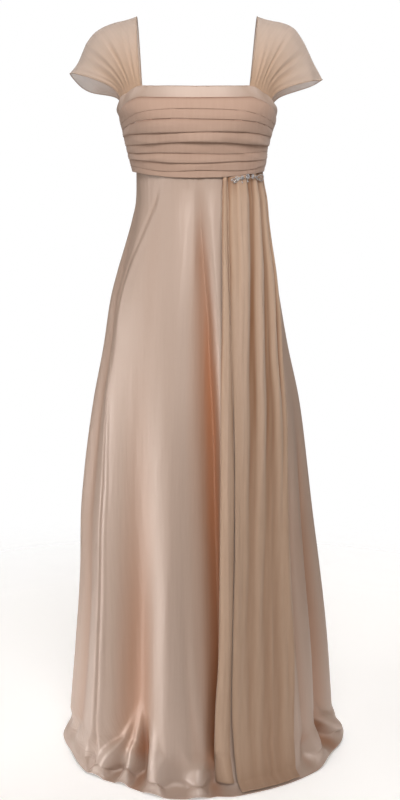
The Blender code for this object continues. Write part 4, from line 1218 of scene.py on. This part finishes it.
def trim_place(turn, up, out=0.0):
    """A frame on the trim: X round the body, Y up it, Z outwards."""
    height = edge_height(UNDERBUST_SEAM, turn) - TRIM_DROP + up
    there = (np.asarray(value, float) for value in (turn, height))
    point, outward = on_sections(BODICE_SECTIONS, *there)
    outward = Vector(outward)
    around = Vector((0, 0, 1)).cross(outward).normalized()
    upward = outward.cross(around)
    frame_there = Matrix((around, upward, outward)).transposed().to_4x4()
    frame_there.translation = Vector(point) + outward * (TRIM_STAND_OFF + out)
    return frame_there


# %% Stones in their settings
def cone_at(mesh, place, radius_in, radius_out, depth, sides):
    """A cone whose foot lies on the place and whose axis points out of the cloth."""
    bmesh.ops.create_cone(
        mesh, cap_ends=True, segments=sides, radius1=radius_in, radius2=radius_out, depth=depth,
        matrix=place @ Matrix.Translation((0, 0, depth / 2))
    )


def round_stone(stones, settings, place, radius, sides=8, claws=0):
    """A faceted stone, girdle down, in a cup that opens towards it."""
    cone_at(settings, place, radius * 0.72, radius * 1.16, radius * 0.55, sides + 4)
    girdle = place @ Matrix.Translation((0, 0, radius * 0.50))
    crown = girdle @ Matrix.Translation((0, 0, radius * 0.16))
    cone_at(stones, girdle, radius, radius * 0.86, radius * 0.16, sides)
    cone_at(stones, crown, radius * 0.86, radius * 0.50, radius * 0.30, sides)
    for claw in range(claws):
        angle = 2 * math.pi * (claw + 0.5) / claws
        sine, cosine = math.sin(angle), math.cos(angle)
        aside = Matrix.Translation((radius * 1.04 * cosine, radius * 1.04 * sine, 0))
        lean = Matrix.Rotation(-0.35, 4, (-sine, cosine, 0))
        cone_at(settings, place @ aside @ lean, radius * 0.13, radius * 0.07, radius * 1.15, 5)


def made_of(mesh, name, material):
    """A bmesh as a piece of one material."""
    data = bpy.data.meshes.new(name)
    mesh.to_mesh(data)
    mesh.free()
    data.materials.append(material)
    print(f"{name}: {len(data.polygons)} faces")
    return placed(name, data)


# %% [markdown]
# Cut crystal is clear and very smooth, and at this size it shows as hard light and dark facets,
# which are painted into its colour in patches as painted reflections. Its settings are plated
# metal, bright where they are rubbed and greyer in the corners.

# %% Finishes of the trim
def crystal_finish():
    crystal = Finish(
        "cut crystal", Roughness=0.04, IOR=1.7, Transmission_Weight=0.35, Specular_IOR_Level=0.8
    )
    cloud = crystal.noise(crystal.object_place(), 420.0, 1.0)
    # painted reflections: the colour is clear in some patches and dark grey in others
    clear, painted_dark_reflection = (0.86, 0.87, 0.91, 1), (0.26, 0.26, 0.30, 1)
    crystal.set(Base_Color=crystal.between_colours(cloud * 1.6 - 0.3, clear, painted_dark_reflection))
    return crystal.material


def plated_finish(name, bright, dull, scale):
    plated = Finish(name, Metallic=1.0)
    worn = plated.noise(plated.object_place(), scale, 3.0)
    plated.set(Base_Color=plated.between_colours(worn, bright, dull), Roughness=worn * 0.22 + 0.16)
    plated.bump(worn, 0.00004, 0.4)
    return plated.material


CRYSTAL = crystal_finish()
SILVER = plated_finish("silver plate", (0.86, 0.85, 0.83, 1), (0.55, 0.54, 0.53, 1), 900.0)
ZIP_METAL = plated_finish("zip metal", (0.62, 0.49, 0.39, 1), (0.42, 0.32, 0.25, 1), 1100.0)

# %% Rosettes and petals
# rosettes: turn, height above the middle line, radius of the middle stone, drop below
ROSETTES = (
    (41.4, 0.0012, 0.0021, True), (47.6, 0.0020, 0.0024, True), (54.2, 0.0010, 0.0021, False),
)
PETAL_STONES = 7
ROSETTE_DROP = 0.0092
# open petals: turns of their root and tip, heights of both, widest half height, stones round them
OPEN_PETALS = (
    (38.2, 30.6, 0.0006, -0.0012, 0.0024, 9), (38.6, 33.2, -0.0006, -0.0060, 0.0019, 7),
    (38.6, 34.4, 0.0018, 0.0036, 0.0015, 6), (57.5, 75.0, -0.0010, -0.0058, 0.0068, 22),
    (59.5, 69.5, -0.0016, -0.0044, 0.0032, 11),
)
LEAF_WIRE = 0.00055


def petal_line(root_turn, tip_turn, root_up, tip_up, half_height, count):
    """Turns and heights round an open petal, pointed at its root."""
    angles = np.linspace(0, 2 * math.pi, count, endpoint=False)
    along = (1 - np.cos(angles)) / 2
    aside = np.sin(angles) * np.sin(along * math.pi / 2 + 0.15) ** 0.8
    return mix(root_turn, tip_turn, along), mix(root_up, tip_up, along) + half_height * aside


# %% Jewelled trim
stones, settings = bmesh.new(), bmesh.new()
wires = []
for turn, up, radius, has_drop in ROSETTES:
    round_stone(stones, settings, trim_place(turn, up, 0.0006), radius, 12, 6)
    for petal in range(PETAL_STONES):
        angle = 2 * math.pi * (petal + 0.25) / PETAL_STONES
        reach = radius * 1.62
        aside = Matrix.Translation((reach * math.cos(angle), reach * math.sin(angle), 0))
        round_stone(stones, settings, trim_place(turn, up) @ aside, radius * 0.56, 8)
    if has_drop:
        pear = trim_place(turn + 0.5, up - ROSETTE_DROP)
        round_stone(stones, settings, pear, radius * 0.62, 8, 3)
        wires.append([trim_place(turn, up - radius * s).translation for s in (2.0, 2.8, 3.7)])
for petal in OPEN_PETALS:
    stone_radius = 0.0011 if petal[-1] > 20 else 0.0008
    for turn, up in zip(*petal_line(*petal)):
        round_stone(stones, settings, trim_place(turn, up, LEAF_WIRE), stone_radius, 6)
    ring = [trim_place(turn, up, LEAF_WIRE).translation
            for turn, up in zip(*petal_line(*petal[:-1], 33))]
    wires.append(ring + ring[:1])
stem = [(turn, 0.0006 * math.sin(turn * 0.7)) for turn in range(34, 62)]
wires.append([trim_place(turn, up, 0.0003).translation for turn, up in stem])
trim_stones = made_of(stones, "trim_stones", CRYSTAL)
trim_settings = made_of(settings, "trim_settings", SILVER)
trim_wires = rolled_hem("trim_wires", wires, LEAF_WIRE, SILVER)

# %% [markdown]
# The zip's slider and pull keep their CAD form, which is the real one. They are small cast metal
# pieces, lacquered to match the satin.

# %% Zip metal
for node in ("zip_slider", "zip_pull"):
    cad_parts[node].data.materials.clear()
    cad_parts[node].data.materials.append(ZIP_METAL)
    print(node, "has", ZIP_METAL.name)

# %% [markdown]
# The foot of each satin panel is turned up once and sewn. The stitches lie in a row near the edge,
# a little sunk in the cloth. Each is a short thread that narrows towards both ends, so two cones
# are enough, and all of one panel's stitches are one mesh.

# %% Hem stitches
HEM_ROW = 1.965
STITCH = 0.0034
STITCH_PITCH = 0.0058
THREAD = 0.00032
THREAD_FINISH = chiffon_finish(
    "sewing thread", (0.50, 0.355, 0.270, 1), (0.38, 0.250, 0.175, 1), (0.55, 0.410, 0.330, 1)
)


def hem_stitches(name, first, last):
    turns = np.linspace(first + 0.4, last - 0.4, 400)
    row = skirt(turns, np.full(turns.shape, HEM_ROW))
    way_along = walked(row)
    threads = bmesh.new()
    for start in np.arange(0.0, way_along[-1] - STITCH, STITCH_PITCH):
        ends = [Vector([np.interp(at, way_along, row[:, axis]) for axis in range(3)])
                for at in (start, start + STITCH)]
        lie = (ends[1] - ends[0]).to_track_quat("X", "Z").to_matrix().to_4x4()
        lie.translation = (ends[0] + ends[1]) / 2
        for half in (-1, 1):
            turned = Matrix.Rotation(half * math.pi / 2, 4, "Y")
            aside = Matrix.Translation((half * STITCH / 4, 0, THREAD * 0.3))
            bmesh.ops.create_cone(
                threads, segments=6, radius1=THREAD, radius2=THREAD * 0.35, depth=STITCH / 2,
                cap_ends=False, matrix=lie @ aside @ turned
            )
    bmesh.ops.remove_doubles(threads, verts=threads.verts, dist=0.00001)
    return made_of(threads, name, THREAD_FINISH)


stitches = {
    skirt_front: hem_stitches("hem_stitches_front", -90, 90),
    skirt_back_left: hem_stitches("hem_stitches_back_left", 90, 180),
    skirt_back_right: hem_stitches("hem_stitches_back_right", -180, -90),
}

# %% Who carries what
left_sleeve, right_sleeve = sleeves["left"][0], sleeves["right"][0]
REPLACED = (
    (bodice_front, "bodice_front", "satin"),
    (bodice_back_left, "bodice_back_left", "satin"),
    (bodice_back_right, "bodice_back_right", "satin"),
    (ruched_front, "ruched_front", "chiffon"),
    (left_sleeve, "sleeve_left", "chiffon"),
    (right_sleeve, "sleeve_right", "chiffon"),
    (skirt_front, "skirt_front", "satin"),
    (skirt_back_left, "skirt_back_left", "satin"),
    (skirt_back_right, "skirt_back_right", "satin"),
    (drape, "drape", "chiffon"),
    (tail, "drape_tail", "chiffon"),
)
for piece, node, slot in REPLACED:
    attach(piece, "gown")
    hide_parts(node)
for piece in (*sleeve_hems.values(), drape_hem, tail_hem):
    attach(piece, "gown")
for piece in stitches.values():
    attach(piece, "gown")
for piece in (trim_stones, trim_settings, trim_wires):
    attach(piece, "gown")
    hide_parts("jewelled_trim")

# %% [markdown]
# Each piece of cloth is listed with the cut that it shows: the widest and longest of the flat
# piece in metres, its flat area, how it is held, and what it lies on or hangs from.

# %% The cut of each piece
left_hem, right_hem = sleeve_hems["left"], sleeve_hems["right"]
# cloth, widest, longest, flat area, how it is held, what it rests on, what is sewn to it
CUTS = (
    (bodice_front, 0.440, 0.182, 0.069, "stretched", (skirt_front,), ()),
    (bodice_back_left, 0.206, 0.152, 0.028, "stretched", (skirt_back_left,), ()),
    (bodice_back_right, 0.200, 0.152, 0.026, "stretched", (skirt_back_right,), ()),
    (ruched_front, 0.470, 0.190, 0.070, "folded", (bodice_front,), ()),
    (left_sleeve, 0.160, 0.380, 0.044, "gathered", (bodice_front, bodice_back_left), (left_hem,)),
    (right_sleeve, 0.158, 0.376, 0.043, "gathered", (bodice_front, bodice_back_right),
     (right_hem,)),
    (skirt_front, 0.975, 1.245, 0.824, "hung", (bodice_front,), (stitches[skirt_front],)),
    (skirt_back_left, 0.486, 1.218, 0.408, "hung", (bodice_back_left,),
     (stitches[skirt_back_left],)),
    (skirt_back_right, 0.460, 1.223, 0.395, "hung", (bodice_back_right,),
     (stitches[skirt_back_right],)),
    (drape, 0.180, 1.218, 0.172, "hung", (skirt_front,), (drape_hem,)),
    (tail, 0.044, 1.178, 0.034, "hung", (skirt_front,), (tail_hem,)),
)
for cloth, width, length, area, held, rests_on, sewn_on in CUTS:
    print(f"{cloth.name}: cut {width * 1000:.0f} by {length * 1000:.0f} mm, {held}")

# %% [markdown]
# The floor is a plain pale disc. It takes the gown's shadow, and thins out to nothing before the
# room's white ground, so no horizon runs behind the gown.

# %% Floor
FLOOR_RADIUS = 1.8
# how far from the origin the floor starts to thin out, and how far off it is gone
THINS, GONE = 1.62, 2.25

mesh = bmesh.new()
bmesh.ops.create_circle(mesh, cap_ends=True, segments=96, radius=FLOOR_RADIUS)
bmesh.ops.translate(mesh, vec=(0, 0, FLOOR - 0.0005), verts=mesh.verts)
pale = Finish("pale floor", Roughness=0.9, Emission_Color=(1, 1, 1, 1), Emission_Strength=0.30)
cloud = pale.noise(pale.object_place(), 3.0)
away = pale.node("ShaderNodeVectorMath", {"operation": "LENGTH"}, {0: pale.object_place()}, "Value")
kept = pale.node("ShaderNodeMapRange", {"interpolation_type": "SMOOTHSTEP"},
                 {"Value": away, "From Min": GONE, "From Max": THINS})
pale.set(Base_Color=pale.between_colours(cloud, (0.93, 0.93, 0.93, 1), (0.90, 0.90, 0.90, 1)),
         Alpha=kept)
floor = made_of(mesh, "pale_floor", pale.material)
